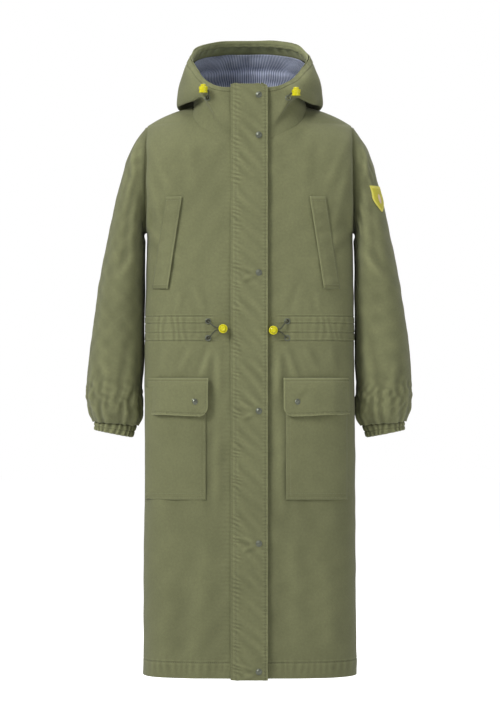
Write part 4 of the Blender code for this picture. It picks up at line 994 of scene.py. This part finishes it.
def make_placket():
    corner = PLACKET_TOP_Z - PLACKET_CORNER * (1 - np.cos(np.linspace(0, math.pi / 2, 14)))
    heights = np.concatenate((corner, np.linspace(PLACKET_TOP_Z - PLACKET_CORNER, PLACKET_LOW_Z, 900)[1:]))
    across = np.concatenate((np.linspace(0, 0.92, 40), np.linspace(0.92, 1, 11)[1:]))
    x, n, z = placket_surface(across[None, :], heights[:, None] * np.ones((1, len(across))))
    tone = placket_tone(x, z, n - placket_rise(across[None, :]))
    obj, _, _ = cloth("placket_cloth", zip_plane(x, z, n), FOLDED, CANVAS, middle=(0, 0.5), tone=tone)
    hinge = zip_plane(PLACKET_SEWN_X, 0, 0)
    start, end = hinge + np.array((0.001, 0, 0)), hinge + np.array((0.014, 0, 0))
    bend(obj, ("torso", "placket_body"), start, end, "canvas", "storm_placket")
    lines = []
    for inset, from_free in ((SEWN_ROWS[0], False), (SEWN_ROWS[1], False), (FREE_ROW, True)):
        z = np.linspace(PLACKET_TOP_Z - (0.012 if from_free else 0.004), PLACKET_LOW_Z + 0.004, 1500)
        share = inset / (placket_free_edge(z) - PLACKET_SEWN_X)
        share = 1 - share if from_free else share
        x, n, _ = placket_surface(share, z)
        lines.append((zip_plane(x, z, n), np.broadcast_to(ZIP_NORMAL, (len(z), 3))))
    share = np.linspace(0.03, 0.90, 200)
    x, n, z = placket_surface(share, np.full(200, PLACKET_TOP_Z - 0.005))
    lines.append((zip_plane(x, z, n), np.broadcast_to(ZIP_NORMAL, (200, 3))))
    bend(stitches("placket_stitches", lines), ("torso", "placket_body"), start, end, "canvas")
    profile = [(0, 5.5), (2.3, 5.5), (2.3, 4.5), (5.0, 4.5), (5.2, 4.7), (5.2, 6.0), (5.0, 6.2), (2.2, 6.2)]
    profile.append((2.2, 8.9))
    profile += [(6.2, 8.3), (6.35, 8.6), (6.35, 9.0)] + arc(6.35, 9.0, 5.2, 9.5, 4)
    profile += [(4.7, 9.35), (4.4, 9.5)] + arc(4.4, 9.5, 0.0, 11.2, 8)
    for index, z in enumerate(SNAP_HEIGHTS, 1):
        cap = turned(f"cap_{index}", profile, zip_plane(SNAP_X, z, 0), ZIP_NORMAL, GUNMETAL)
        settle(cap, "placket_body", "snap_metal", f"snap_cap_{index}")


# ---------------------------------------------------------------- pockets


def make_welts():
    """Slanted welts that stand open a little along one long side."""
    lines = []
    for side in (LEFT, RIGHT):
        down = np.linspace(0, 1, 90)[:, None]
        over = np.linspace(0, 1, 22)[None, :]
        z = WELT_TOP_Z + (WELT_LOW_Z - WELT_TOP_Z) * down + 0 * over
        first, last = (top + (low - top) * down for top, low in zip(WELT_TOP, WELT_LOW))
        x = FRONT_X + side * (first + (last - first) * over)
        open_side = 1 - over
        lift = 0.0022 + 0.0030 * smooth(open_side, 0.0, 0.75)
        lift = lift + 0.0006 * waves(x, z, 101 + side, 0.03) * open_side
        lift = lift + 0.0013 * waves(x * 0.2, z, 103 + side, 0.026) * near(open_side, 0.45, 0.4)
        lift = lift - 0.0012 * smooth(np.abs(down - 0.5), 0.475, 0.5)
        grid, _ = on_front(x, z, lift)
        # Tone: the open edge and the top end paler as wear; painted shade along the sewn side and in the
        # stitch grooves.
        tone = 0.32 * near(over, 0, 0.06) - 0.08 * near(over, 1.0, 0.06) - 0.08 * near(over, 0.14, 0.04)
        tone = tone + 0.10 * near(down, 0, 0.008)
        tone = tone - 0.10 * near(down, 0.03, 0.008) - 0.10 * near(down, 0.97, 0.008)
        obj, placed, normal = cloth(f"welt_{SIDE_NAMES[side]}", grid, 0.0016, CANVAS, tone=tone)
        settle(obj, "torso", "canvas", f"chest_welt_{SIDE_NAMES[side]}")
        lines += [(placed[row, 2:], normal[row, 2:]) for row in (4, -5)]
        lines += [(placed[3:-3, column], normal[3:-3, column]) for column in (-3, 2)]
    return lines


def make_patch_pockets():
    """Pockets sewn flat to the skirt: their mouths stand open a little under the flaps."""
    lines = []
    for side in (LEFT, RIGHT):
        label = SIDE_NAMES[side]
        down = np.linspace(0, 1, 110)[:, None]
        over = np.linspace(0, 1, 64)[None, :]
        z = POCKET_TOP_Z + (POCKET_LOW_Z - POCKET_TOP_Z) * down + 0 * over
        x = FRONT_X + side * (POCKET_INNER + (POCKET_OUTER - POCKET_INNER) * over + 0 * down)
        rim = np.minimum(rounded(np.minimum(over, 1 - over) / 0.16, 2), rounded((1 - down) / 0.14, 2))
        mouth = 1 - smooth(down, 0.0, 0.55)
        lift = 0.0021 + 0.0012 * rim + 0.0044 * mouth * rim
        lift = lift + 0.0008 * rim * waves(x, z, 111 + side, 0.05)
        lift = lift - 0.0006 * near(over, 0.045, 0.008) - 0.0006 * near(down, 0.975, 0.006)
        grid, _ = on_front(x, z, lift)
        tone = 0.07 * near(over, 0, 0.012) + 0.06 * near(down, 1, 0.010) + skirt_shade(z, 0.075)
        obj, placed, normal = cloth(f"patch_{label}", grid, SHELL, CANVAS, tone=tone, inner_look=CANVAS_INSIDE_SHADED)
        settle(obj, "torso", "canvas", f"patch_pocket_{label}")
        lines += [(placed[3:-3, column], normal[3:-3, column]) for column in (2, 5)]
        lines += [(placed[row, 3:], normal[row, 3:]) for row in (-3, -7)]
        origin, normal = on_front(FRONT_X + side * FLAP_SNAP[0], FLAP_SNAP[1], 0.0)
        profile = [(0, 5.9), (3.4, 5.9), (3.6, 6.2), (3.6, 6.9), (1.6, 7.1), (1.6, 9.9), (3.6, 9.9),
                   (3.8, 10.1), (3.6, 10.5), (1.8, 10.6), (1.5, 11.2), (1.8, 11.8), (1.2, 12.1), (0, 12.1)]
        stud = turned(f"pocket_snap_stud_{label}", profile, origin, normal, GUNMETAL, 28)
        settle(stud, "torso", "snap_metal", f"pocket_stud_{label}")
    return lines


def flap_surface(side, down, over):
    """The flap's outer face: a stitched ridge at its top, then a slightly bowed sheet."""
    z = FLAP_TOP_Z + (FLAP_LOW_Z - FLAP_TOP_Z) * down
    above = np.maximum(0.0, 1 - (z - FLAP_LOW_Z) / FLAP_CORNER)
    outer = FLAP_OUTER + (0.006 if side == LEFT else -0.004)
    start = FLAP_INNER + FLAP_CORNER * (1 - np.sqrt(np.clip(1 - above**2, 0, 1)))
    x = FRONT_X + side * (start + (outer - start) * over)
    z = z - 0.0035 * (1 - smooth(over, 0.0, 0.9)) * down + 0 * over
    lift = 0.0045 + 0.0092 * rounded(down / 0.34, 1.7)
    lift = lift * (1 - 0.70 * smooth(over, 0.70, 1.0))
    lift = lift + 0.0010 * waves(x, z, 121 + side, 0.045) * smooth(down, 0.1, 0.5)
    lift = lift + crease(side * x, z, (0.110, -0.570), (0.085, -0.600), 0.006, 0.0010)
    lift = lift - 0.0007 * near(down, 0.085, 0.014)
    pucker = ripples(x, 0.009, 1.5 * waves(x, z * 0.3, 123 + side, 0.03))
    lift = lift + 0.0003 * pucker * near(down, 0.93, 0.05) - 0.0006 * near(down, 0.93, 0.014)
    snap = np.exp(-(((x - FRONT_X - side * FLAP_SNAP[0]) ** 2 + (z - FLAP_SNAP[1]) ** 2) / 0.012**2))
    return x, z, lift - 0.0012 * snap


def make_flaps():
    """Pocket flaps sewn along their tops, each with a snap cap."""
    for side in (LEFT, RIGHT):
        label = SIDE_NAMES[side]
        down = (1 - (1 - np.linspace(0, 1, 70)) ** 1.15)[:, None]
        over = np.linspace(0, 1, 90)[None, :]
        x, z, lift = flap_surface(side, down, over)
        grid, _ = on_front(x, z, lift)
        # Tone: the edges paler as wear, a paler ridge below the top stitching, and painted shade in the
        # stitch grooves.
        tone = 0.34 * near(down, 1, 0.026) + 0.34 * near(over, 0, 0.016) + 0.26 * near(down, 0, 0.035)
        tone = tone + 0.10 * near(down, 0.11, 0.015) - 0.12 * near(down, 0.075, 0.012)
        tone = tone - 0.10 * near(down, 0.92, 0.012) - 0.10 * near(over, 0.035, 0.008)
        obj, placed, normal = cloth(f"flap_{label}", grid, FOLDED, CANVAS, tone=tone)
        top, _ = on_front(FRONT_X + side * 0.13, FLAP_TOP_Z, 0.004)
        start, end = top + np.array((0, 0, 0.001)), top - np.array((0, 0, 0.022))
        bodies = ("torso", f"flap_{label}_body")
        bend(obj, bodies, start, end, "canvas", f"pocket_flap_{label}")
        lines = [(placed[6, 2:], normal[6, 2:]), (placed[2, 2:], normal[2, 2:])]
        lines += [(placed[-7, 5:], normal[-7, 5:]), (placed[3:-8, 3], normal[3:-8, 3])]
        bend(stitches(f"flap_stitches_{label}", lines), bodies, start, end, "canvas")
        origin, axis = on_front(FRONT_X + side * FLAP_SNAP[0], FLAP_SNAP[1], 0.0)
        profile = [(0, 12.3), (2.2, 12.3), (2.2, 11.2), (4.4, 11.2), (4.6, 11.4), (4.6, 12.2), (2.1, 12.4)]
        profile += [(2.1, 14.0), (6.3, 12.6), (6.4, 13.0)] + arc(6.4, 13.0, 5.2, 13.6, 4)
        profile += [(4.7, 13.4), (4.4, 13.6)] + arc(4.4, 13.6, 0, 15.3, 8)
        cap = turned(f"flap_cap_{label}", profile, origin, axis, GUNMETAL)
        settle(cap, bodies[1], "snap_metal", f"pocket_cap_{label}")


# ---------------------------------------------------------------- drawcords and locks


TUNNEL_N = -0.0050


def waist_strand(side, lane):
    """One strand's route: from the lock through its eyelet and along the tunnel. Lane 1 is the upper one."""
    lock_x, lock_z = WAIST_LOCK[side]
    hole_x, z = WAIST_EYELET_X[side], EYELET_HEIGHTS[0 if lane == 1 else 1]
    level = lock_z + lane * LOCK_LANE
    route = [(lock_x + side * ahead, level, LOCK_N) for ahead in (-0.002, 0.005, 0.0118)]
    route.append((hole_x - side * 0.0055, z - lane * 0.0050, 0.0058))
    route.append((hole_x - side * 0.0016, z - lane * 0.0008, 0.0020))
    bends = ((0, -0.0012), (0.0018, -0.0042), (0.0070, -0.0058))
    route += [(hole_x + side * reach, z, n) for reach, n in bends]
    route += [(hole_x + side * reach, z, TUNNEL_N) for reach in (0.02, 0.035, 0.05)]
    return route + [(side * (WAIST_CORD_TURN - 0.02), z, TUNNEL_N)]


def make_waist_cords():
    """A cord each side that comes out of one eyelet, through the lock and back into the other."""
    middle = sum(EYELET_HEIGHTS) / 2
    for side in (LEFT, RIGHT):
        label = SIDE_NAMES[side]
        turn = [(side * (WAIST_CORD_TURN - back), middle + rise, TUNNEL_N)
                for back, rise in ((0.006, 0.0115), (0, 0), (0.006, -0.0115))]
        route = waist_strand(side, 1) + turn + waist_strand(side, -1)[::-1]
        cord = tube(f"waist_cord_{label}", [on_front(*spot)[0] for spot in route], CORD_R, CORDING)
        settle(cord, "torso", "cord", f"waist_drawcord_{label}")
        for name, z in zip(("upper", "lower"), EYELET_HEIGHTS):
            origin, axis = on_front(WAIST_EYELET_X[side], z, 0.0)
            eyelet(f"eyelet_{label}_{name}", origin, axis, f"waist_eyelet_{label}_{name}")


def eyelet(name, origin, axis, *nodes):
    """A rolled metal ring, with a dark disc in its cord hole as painted shade."""
    verts, faces = [], []
    segments, around = 36, 12
    for k in range(segments):
        angle = 2 * math.pi * k / segments
        for j in range(around):
            roll = 2 * math.pi * j / around
            radius = 0.0048 + 0.0012 * math.cos(roll)
            height = 0.0010 + 0.0007 * math.sin(roll)
            verts.append((radius * math.cos(angle), radius * math.sin(angle), height))
            m, i = (k + 1) % segments, (j + 1) % around
            faces.append((k * around + j, m * around + j, m * around + i, k * around + i))
    mesh = bpy.data.meshes.new(name)
    mesh.from_pydata(verts, [], faces)
    mesh.transform(standing(origin, axis))
    mesh.shade_smooth()
    settle(show(name, mesh, GUNMETAL), "torso", "snap_metal", *nodes)
    hole = turned(name + "_hole", [(0, 0.15), (3.9, 0.15), (3.9, 0.35), (0, 0.35)], origin, axis, HOLE_SHADE, 28)
    settle(hole, "torso", "snap_metal")


def carve_slot(body, matrix, wide):
    """Cuts the cord's slot through a lock's barrel."""
    bm = bmesh.new()
    size = Matrix.Diagonal((0.03, wide, LOCK_SLOT, 1))
    lowered = Matrix.Translation((0, 0, -LOCK_DROP / LOCK_SLOT))
    bmesh.ops.create_cube(bm, size=1, matrix=matrix @ size @ lowered)
    mesh = bpy.data.meshes.new("slot_cutter")
    bm.to_mesh(mesh)
    bm.free()
    cutter = bpy.data.objects.new("slot_cutter", mesh)
    bpy.context.scene.collection.objects.link(cutter)
    carve = body.modifiers.new("slot", "BOOLEAN")
    carve.object = cutter
    carve.solver = "EXACT"
    bpy.context.view_layer.update()
    carved = bpy.data.meshes.new_from_object(body.evaluated_get(bpy.context.evaluated_depsgraph_get()))
    body.modifiers.clear()
    body.data = carved
    carved.set_sharp_from_angle(angle=SHARP)
    bpy.data.objects.remove(cutter)


def make_lock(place, side, centre, axis, slot_width):
    """A ribbed barrel with its cord slot, and the domed button in its mouth."""
    name = f"{place}_{SIDE_NAMES[side]}"
    profile = [(0, -6.2), (7.4, -6.2)] + arc(8.7, -5.6, 8.7, -5.0, 2)
    for k in range(5):
        low = -4.6 + 1.9 * k
        profile += [(8.75, low), (8.75, low + 1.2), (8.45, low + 1.35), (8.45, low + 1.75)]
    profile += [(8.7, 5.0)] + arc(8.7, 5.2, 7.4, 6.25, 5) + [(6.3, 6.25), (5.8, 5.9), (5.8, 1.8), (0, 1.8)]
    body = turned(f"lock_body_{name}", profile, centre, axis, YELLOW, 56)
    matrix = standing(centre, axis)
    across = matrix.to_quaternion().inverted() @ Vector((side, 0, 0))
    carve_slot(body, matrix @ Matrix.Rotation(math.atan2(across.y, across.x), 4, "Z"), slot_width)
    settle(body, f"{place}_lock_{SIDE_NAMES[side]}", "lock_plastic", f"cord_lock_body_{name}")
    knob = [(0, 5.35), (5.3, 5.35), (5.35, 5.6), (5.35, 9.6)] + arc(5.35, 9.6, 3.6, 10.9, 5)
    knob += [(3.3, 10.55), (2.9, 10.4), (0, 10.4)]
    button = turned(f"lock_button_{name}", knob, centre, axis, YELLOW, 44)
    settle(button, f"{place}_button_{SIDE_NAMES[side]}", "lock_plastic", f"cord_lock_button_{name}")


def make_locks():
    for side in (LEFT, RIGHT):
        origin, axis = on_front(*WAIST_LOCK[side], LOCK_N)
        make_lock("waist", side, origin + axis * LOCK_DROP, axis, 0.0100)
        make_lock("hood", side, HOOD_LOCK[side], (0, 0, 1), 0.0080)


# ---------------------------------------------------------------- hood

HOOD_SHARES = np.linspace(0.0, 1.0, 110)
HOOD_BEND = (("torso", "hood_body"), (0, -0.03, -0.04), (0, 0.03, 0.04))
HOOD_SEAMS = (-0.30, 0.30)
TUNNEL_LEVEL = 0.90


def hood_relief(grid):
    """Soft slumps, the rim's tunnel, and two panel seams over the back."""
    rows, columns = grid.shape[:2]
    level = np.linspace(0, 1, rows)[:, None]
    across = np.linspace(-1, 1, columns)[None, :]
    x, y, z = grid[..., 0], grid[..., 1], grid[..., 2]
    back = smooth(1 - np.abs(across), 0.1, 0.4)
    relief = 0.0010 * waves(x + y, z, 131, 0.06) * smooth(level, 0.1, 0.4)
    relief = relief + 0.0016 * waves(x - y, z * 0.6, 132, 0.11) * smooth(level, 0.2, 0.6)
    relief = relief - 0.0008 * near(level, 0.90, 0.008) + 0.0004 * smooth(level, 0.90, 0.93)
    pucker = np.sin(across * 160 + 1.5 * waves(x, z, 133, 0.04))
    relief = relief + 0.00028 * pucker * near(level, 0.93, 0.04)
    for seam in HOOD_SEAMS:
        relief = relief - 0.0009 * near(across, seam, 0.006) * smooth(level, 0.1, 0.3)
    relief = relief + 0.0009 * back * waves(x, z, 134, 0.045)
    return relief


def make_hood_shell():
    """The outer hood and the collar it stands on, in one sheet, with its stitching."""
    levels = np.concatenate(([0.0], np.linspace(0, 0.5, 60), np.linspace(0.5, 1, 50)[1:]))
    grid = round_hood(hood_profile, HOOD_SHARES, levels[1:])
    relief = hood_relief(grid)
    allowance = [point + inward(point) * 0.0035 - np.array((0, 0, 0.0110)) for point in grid[0]]
    grid = np.concatenate((np.array(allowance)[None], grid))
    relief = np.concatenate((relief[:1], relief))
    level = levels[:, None]
    # Tone: the rim paler as wear; painted shade on the collar under the hood's overhang and in the tunnel's
    # stitch groove.
    tone = 0.20 * near(level, 1.0, 0.014) - 0.10 * near(level, 0.2, 0.12)
    tone = tone - 0.10 * near(level, TUNNEL_LEVEL, 0.006) + 0.015 * waves(grid[..., 0], grid[..., 2], 8, 0.1)
    obj, placed, normal = cloth("hood_cloth", grid, SHELL, CANVAS, relief=relief, tone=tone,
                                inner_look=CANVAS_INSIDE_SHADED)
    bend(obj, *HOOD_BEND, "canvas", "hood_shell", "collar_left", "collar_right")
    rows = (int(np.argmin(np.abs(levels - TUNNEL_LEVEL - 0.005))), -2)
    lines = [(placed[row, 4:-4], normal[row, 4:-4]) for row in rows]
    for seam in HOOD_SEAMS:
        for shift in (-0.012, 0.012):
            column = int(round((seam + shift + 1) / 2 * (placed.shape[1] - 1)))
            lines.append((placed[30:, column], normal[30:, column]))
    bend(stitches("hood_stitches", lines), *HOOD_BEND, "canvas")


def facing_profile(share, steps, side):
    """The canvas band inside the rim."""
    rim = hood_profile(share, 0.86 + 0.14 * steps, side)
    hold = hood_profile(share, np.array((0.9, 1.0)), side)
    inset = 0.0068 - 0.0045 * smooth(steps, 0.75, 1.0)
    return rim + inward(hold[0]) * inset[:, None] + np.array((0, 0, -0.0015)) * (1 - steps[:, None])


def make_hood_inside():
    """The facing inside the rim, and the lining below it."""
    steps = np.linspace(0, 0.985, 30)
    band = round_hood(facing_profile, HOOD_SHARES[2:], steps)
    across = np.linspace(-1, 1, band.shape[1])[None, :]
    down = steps[:, None]
    ripple = np.sin(across * 95 + 1.7 * waves(band[..., 0], band[..., 2], 141, 0.05))
    fold = -0.0022 * near(down, 0.62, 0.06) + 0.0011 * ripple * near(down, 0.55, 0.25)
    # The tone lifts the facing a little more, as painted light.
    obj, _, _ = cloth("hood_facing_cloth", band, LINING, FACING_LIGHTENED, relief=fold, tone=0.02)
    bend(obj, *HOOD_BEND, "canvas", "hood_facing")

    down = np.linspace(0, 1, 70)[:, None]
    bowl = round_hood(lining_profile, HOOD_SHARES[3:], down[:, 0])
    x, z = bowl[..., 0], bowl[..., 2]
    fold = 0.0016 * waves(x, z, 142, 0.035) + 0.0012 * waves(x, z * 2, 143, 0.08)
    fold = fold + 0.0035 * near(down, 0.80, 0.05)
    across = np.linspace(-1, 1, bowl.shape[1])[None, :]
    tone = 0.25 * (near(across, -0.36, 0.004) + near(across, 0.30, 0.004)) * near(down, 0.72, 0.13)
    obj, _, _ = cloth("hood_lining_cloth", bowl, LINING, LINING_CLOTH, relief=fold, tone=tone)
    bend(obj, *HOOD_BEND, "lining", "hood_lining")


def make_hood_cords():
    """The short run of cord from each hood lock into its eyelet."""
    step = 0.004
    for side in (LEFT, RIGHT):
        here = hood_profile(HOOD_EYELET, HOOD_EYELET_LEVEL, side)
        ahead = hood_profile(HOOD_EYELET + step, HOOD_EYELET_LEVEL, side)
        above = hood_profile(HOOD_EYELET, HOOD_EYELET_LEVEL + step, side)
        out = np.cross(ahead - here, above - here) * side
        out /= np.linalg.norm(out)
        lock = np.array(HOOD_LOCK[side]) - np.array((0, 0, LOCK_DROP))
        route = [lock + np.array((side * reach, 0, 0)) for reach in (0.003, -0.004, -0.0100)]
        route += [here + out * lift for lift in (0.0075, -0.0010, -0.0046)]
        cord = tube(f"hood_cord_{SIDE_NAMES[side]}", route, CORD_R, CORDING)
        settle(cord, "torso", "cord", f"hood_drawcord_{SIDE_NAMES[side]}")
        eyelet(f"hood_eyelet_{SIDE_NAMES[side]}", here, out)


# ---------------------------------------------------------------- sleeves


SLEEVE_CREASES = [
    ((0.222, -0.085), (0.236, -0.150), 0.006, 0.0022), ((0.232, -0.100), (0.228, -0.165), 0.006, 0.0020),
    ((0.225, -0.200), (0.233, -0.330), 0.009, 0.0022), ((0.218, -0.300), (0.260, -0.360), 0.009, 0.0016),
    ((0.222, -0.470), (0.245, -0.590), 0.010, 0.0020), ((0.290, -0.520), (0.270, -0.610), 0.009, 0.0016)]


def sleeve_relief(grid, share, turns, side):
    """Creases at the shoulder, soft folds down the arm and gathers into the cuff."""
    x, z = side * grid[..., 0], grid[..., 2]
    turn = turns[None, :]
    around = turn * 0.075
    relief = 0.0014 * waves(around, z * 0.5, 151 + side, 0.10) + 0.0005 * waves(around, z, 153 + side, 0.035)
    side_in = smooth(-np.cos(turn), 0.75, 1.0) * smooth(share, 0.1, 0.2) * (1 - smooth(share, 0.80, 0.9))
    relief = relief * (1 - 0.8 * side_in) + 0.0030 * side_in
    crown = smooth(share, 0.03, 0.12) * (1 - smooth(share, 0.14, 0.34)) * near(np.sin(turn), 1.0, 0.9)
    relief = relief + 0.0011 * crown * waves(around, z * 0.25, 155 + side, 0.030, spread=0.7)
    elbow = near(share, 0.52, 0.16) * near(np.cos(turn), -0.6, 0.7)
    relief = relief + 0.0022 * elbow * waves(around * 0.3, z, 157 + side, 0.05, spread=0.8)
    gather = smooth(share, 0.88, 0.985)
    folds = np.sin(turn * 11 + 2.2 * waves(around, z * 0.3, 159 + side, 0.08))
    relief = relief + 0.0042 * gather * (0.5 + 0.5 * folds) * (1 - 0.3 * smooth(share, 0.97, 1.0))
    relief = relief + 0.0016 * near(share, 0.93, 0.05) * waves(around, z, 161 + side, 0.022)
    relief = relief + smooth(np.sin(turn), 0.0, 0.4) * creased(0.0, x, z, SLEEVE_CREASES)
    return relief * smooth(share, -0.005, 0.03)


def ring_turns(count):
    """Evenly spaced turns once round a sleeve."""
    return np.linspace(0, 2 * math.pi, count, endpoint=False)


def make_sleeve(side):
    label = SIDE_NAMES[side]
    body = f"sleeve_{label}_body"
    middle = (side * SLEEVE_MIDDLE, MID_Y)
    turns = ring_turns(112)
    shares = np.concatenate((np.linspace(0, 0.9, 190), np.linspace(0.9, 1, 60)[1:]))
    grid = np.stack([section_points(follow(SLEEVE, s), turns, side) for s in shares])
    grid = np.concatenate((section_points(SLEEVE_TUCK, turns, side)[None], grid))
    share = np.concatenate(((-0.01,), shares))[:, None]
    relief = sleeve_relief(grid, share, turns, side)
    relief[0] = 0
    # Tone: painted shade in the band at the armhole seam; the wearer's right sleeve a little darker all
    # over.
    tone = (-0.05 if side == RIGHT else 0.0) - 0.10 * near(share, 0.0, 0.012)
    tone = tone + 0.02 * waves(grid[..., 0], grid[..., 2], 9 + side, 0.2)
    obj, _, _ = cloth(f"sleeve_cloth_{label}", grid, SHELL, CANVAS, middle, relief, tone, True, CANVAS_INSIDE_SHADED)
    settle(obj, body, "canvas", f"sleeve_{label}")

    inner = [section_points(follow(SLEEVE, s), turns[::2], side, 0.011) for s in np.linspace(0.03, 0.97, 50)]
    lining, _, _ = cloth(f"sleeve_lining_cloth_{label}", np.stack(inner), LINING, LINING_CLOTH, middle,
                         closed=True)
    settle(lining, body, "lining", f"sleeve_lining_{label}")

    ring = []
    for s in np.linspace(0, 1, 9):
        values = (0.2005 + 0.0075 * s, -0.0532 - 0.0034 * s, 0.2005 + 0.0085 * s, -0.2665, 0.0650)
        ring.append(section_points(values, turns, side))
    # The armhole band between torso and sleeve is darkened as painted shade.
    gusset, _, _ = cloth(f"armhole_{label}", np.stack(ring), 0.0012, CANVAS, middle=(side * 0.19, MID_Y),
                         tone=-0.15, closed=True)
    bend(gusset, ("torso", body), (side * 0.2010, 0, 0), (side * 0.2080, 0, 0), "canvas")


def make_cuff(side):
    """The elastic cuff: fine pleats round it, drawn in along its middle."""
    label = SIDE_NAMES[side]
    top, bottom = np.array(CUFF_TOP), np.array(CUFF_BOTTOM)
    down = np.linspace(-0.12, 1, 44)[:, None]
    turns = ring_turns(260)
    band = np.stack([section_points(top + (bottom - top) * share, turns, side) for share in down[:, 0]])
    wander = 1.6 * waves(turns[None, :] * 0.04, down * 0.02, 171 + side, 0.03)
    pleat = np.sin(turns[None, :] * 22 + wander)
    relief = 0.0013 * pleat * (1 - 0.45 * near(down, 0.5, 0.12)) - 0.0010 * near(down, 0.5, 0.05)
    relief = relief - 0.0022 * smooth(down, 0.9, 1.0) - 0.0012 * near(down, 0.0, 0.08)
    # Tone: pleat ridges paler as wear and their valleys darker as painted shade, painted shade at the top
    # under the sleeve's overhang, and a paler lower edge as wear.
    tone = 0.10 * pleat - 0.20 * near(down, 0.0, 0.10) + 0.10 * near(down, 1.0, 0.06)
    middle = (side * SLEEVE_MIDDLE, MID_Y)
    cuff, _, _ = cloth(f"cuff_cloth_{label}", band, 0.0034, CANVAS, middle, relief, tone, closed=True)
    settle(cuff, f"sleeve_{label}_body", "canvas", f"cuff_{label}")


def sleeve_patch(turns, heights, lift):
    """Points over the left sleeve at given turns and true heights, one row for each height."""
    cuts = [follow(SLEEVE, share) for share in np.linspace(0.12, 0.50, 90)]
    columns = np.stack([section_points(cut, turns.ravel(), LEFT, -lift) for cut in cuts])
    points = np.empty((*turns.shape, 3))
    for k, (row, column) in enumerate(np.ndindex(turns.shape)):
        line = columns[::-1, k]
        z = heights[row]
        points[row, column] = [np.interp(z, line[:, 2], line[:, c]) for c in range(3)]
    return points


def make_badge():
    """A plain shield with a bound edge and a simple upright mark, sewn to the left sleeve."""
    middle, across = -0.201, np.linspace(-1, 1, 26)[None, :]
    down = np.linspace(0, 1, 40)[:, None]
    shield = 1 - np.maximum(0.0, (down - 0.42) / 0.58) ** 1.8
    shield = shield * (1 - 0.10 * near(down, 0.22, 0.2))
    oval = np.sqrt(np.clip(1 - (2 * down - 1) ** 2, 0, 1))
    layers = [("edge", BADGE_EDGE, shield, 0.42, 0.051, 0.0026, 0.0018),
              ("field", BADGE_FIELD, shield, 0.335, 0.041, 0.0032, 0.0010),
              ("mark", BADGE_MARK, oval, 0.085, 0.019, 0.0037, 0.0009)]
    for name, look, outline, width, tall, lift, thick in layers:
        turns = 0.80 + width * (outline + 0.012) * across
        heights = middle + tall * (0.5 - down[:, 0])
        patch = sleeve_patch(turns, heights, lift)
        obj, _, _ = cloth(f"badge_{name}", patch, thick, look, (SLEEVE_MIDDLE, MID_Y))
        settle(obj, "sleeve_left_body", "badge_twill", *(["sleeve_badge"] if name == "edge" else []))


def torso_stitches():
    """Topstitching of the hem and the waist tunnel, standing up out of half the depth of its groove."""
    lines = []
    share = np.linspace(0, 1, 400)
    for side in (LEFT, RIGHT):
        for z in CHANNEL_LINES + (HEM_LINE,):
            start = 0.040 if z == HEM_LINE else 0.052
            x = FRONT_X + side * (start + (0.197 - start) * share)
            points, normal = on_front(x, z, 0.0)
            folds = front_folds(x, np.full_like(x, z), side) - SIDE_SEAM_DROP * smooth(share, 0.985, 1.0)
            depth = 0.5 * folds * smooth(np.arange(len(x)), 0, 9)
            lines.append((points + normal * depth[:, None], normal))
    return lines


# ---------------------------------------------------------------- studio


FLOOR_Z = -1.32


def make_studio():
    """A pale floor, soft lights and the camera."""
    scene = bpy.context.scene
    scene.view_settings.view_transform = "Standard"
    world = bpy.data.worlds.new("studio")
    scene.world = world
    world.use_nodes = True
    back = world.node_tree.nodes["Background"]
    back.inputs["Color"].default_value = (1, 1, 1, 1)
    ray = add(world.node_tree, "ShaderNodeLightPath")
    seen = remap(world.node_tree, ray.outputs["Is Camera Ray"], 0, 1, 0.26, 1.0)
    world.node_tree.links.new(seen, back.inputs["Strength"])

    pale, tree, shader = new_material("studio_pale")
    preset(shader, Base_Color=(0.95, 0.95, 0.95, 1), Roughness=0.9, Emission_Color=(1, 1, 1, 1))
    ray = add(tree, "ShaderNodeLightPath")
    glow = remap(tree, ray.outputs["Is Camera Ray"], 0, 1, 0.0, 0.75)
    feed(tree, shader.inputs["Emission Strength"], glow)
    mesh = bpy.data.meshes.new("studio_floor")
    mesh.from_pydata([(x, y, FLOOR_Z) for y in (-14, 14) for x in (-14, 14)], [], [(0, 1, 3, 2)])
    show("studio_floor", mesh, pale)

    def area(name, place, target, size, power):
        data = bpy.data.lights.new(name, "AREA")
        data.shape = "RECTANGLE"
        data.size, data.size_y = size
        data.energy = power
        lamp = bpy.data.objects.new(name, data)
        lamp.location = place
        lamp.rotation_euler = (Vector(target) - Vector(place)).to_track_quat("-Z", "Y").to_euler()
        scene.collection.objects.link(lamp)

    centre = (0, -0.1, -0.5)
    area("key", (-2.6, -2.6, 1.9), centre, (1.3, 1.6), 112)
    area("fill", (2.8, -3.4, 0.3), centre, (2.4, 2.8), 26)
    area("top", (0.3, -0.4, 2.8), centre, (1.8, 1.2), 40)
    area("backlight", (0.6, 3.2, 1.6), centre, (2.4, 2.0), 46)

    camera = bpy.data.cameras.new("camera")
    camera.sensor_fit = "VERTICAL"
    camera.sensor_height = 36.0
    camera.lens = 149.8
    obj = bpy.data.objects.new("camera", camera)
    obj.location = (0.001, MID_Y - 6.0, -0.521)
    obj.rotation_euler = (math.pi / 2, 0, 0)
    scene.collection.objects.link(obj)
    scene.camera = obj


def main():
    make_studio()
    make_fronts()
    make_back()
    make_shoulder_seams()
    make_body_lining()
    make_zip()
    make_snap_studs()
    make_hanger_loop()
    make_placket()
    lines = make_welts() + make_patch_pockets() + torso_stitches()
    settle(stitches("coat_stitches", lines), "torso", "canvas")
    make_flaps()
    make_waist_cords()
    make_locks()
    make_hood_shell()
    make_hood_inside()
    make_hood_cords()
    for side in (LEFT, RIGHT):
        make_sleeve(side)
        make_cuff(side)
    make_badge()


main()
bpy.context.view_layer.update()
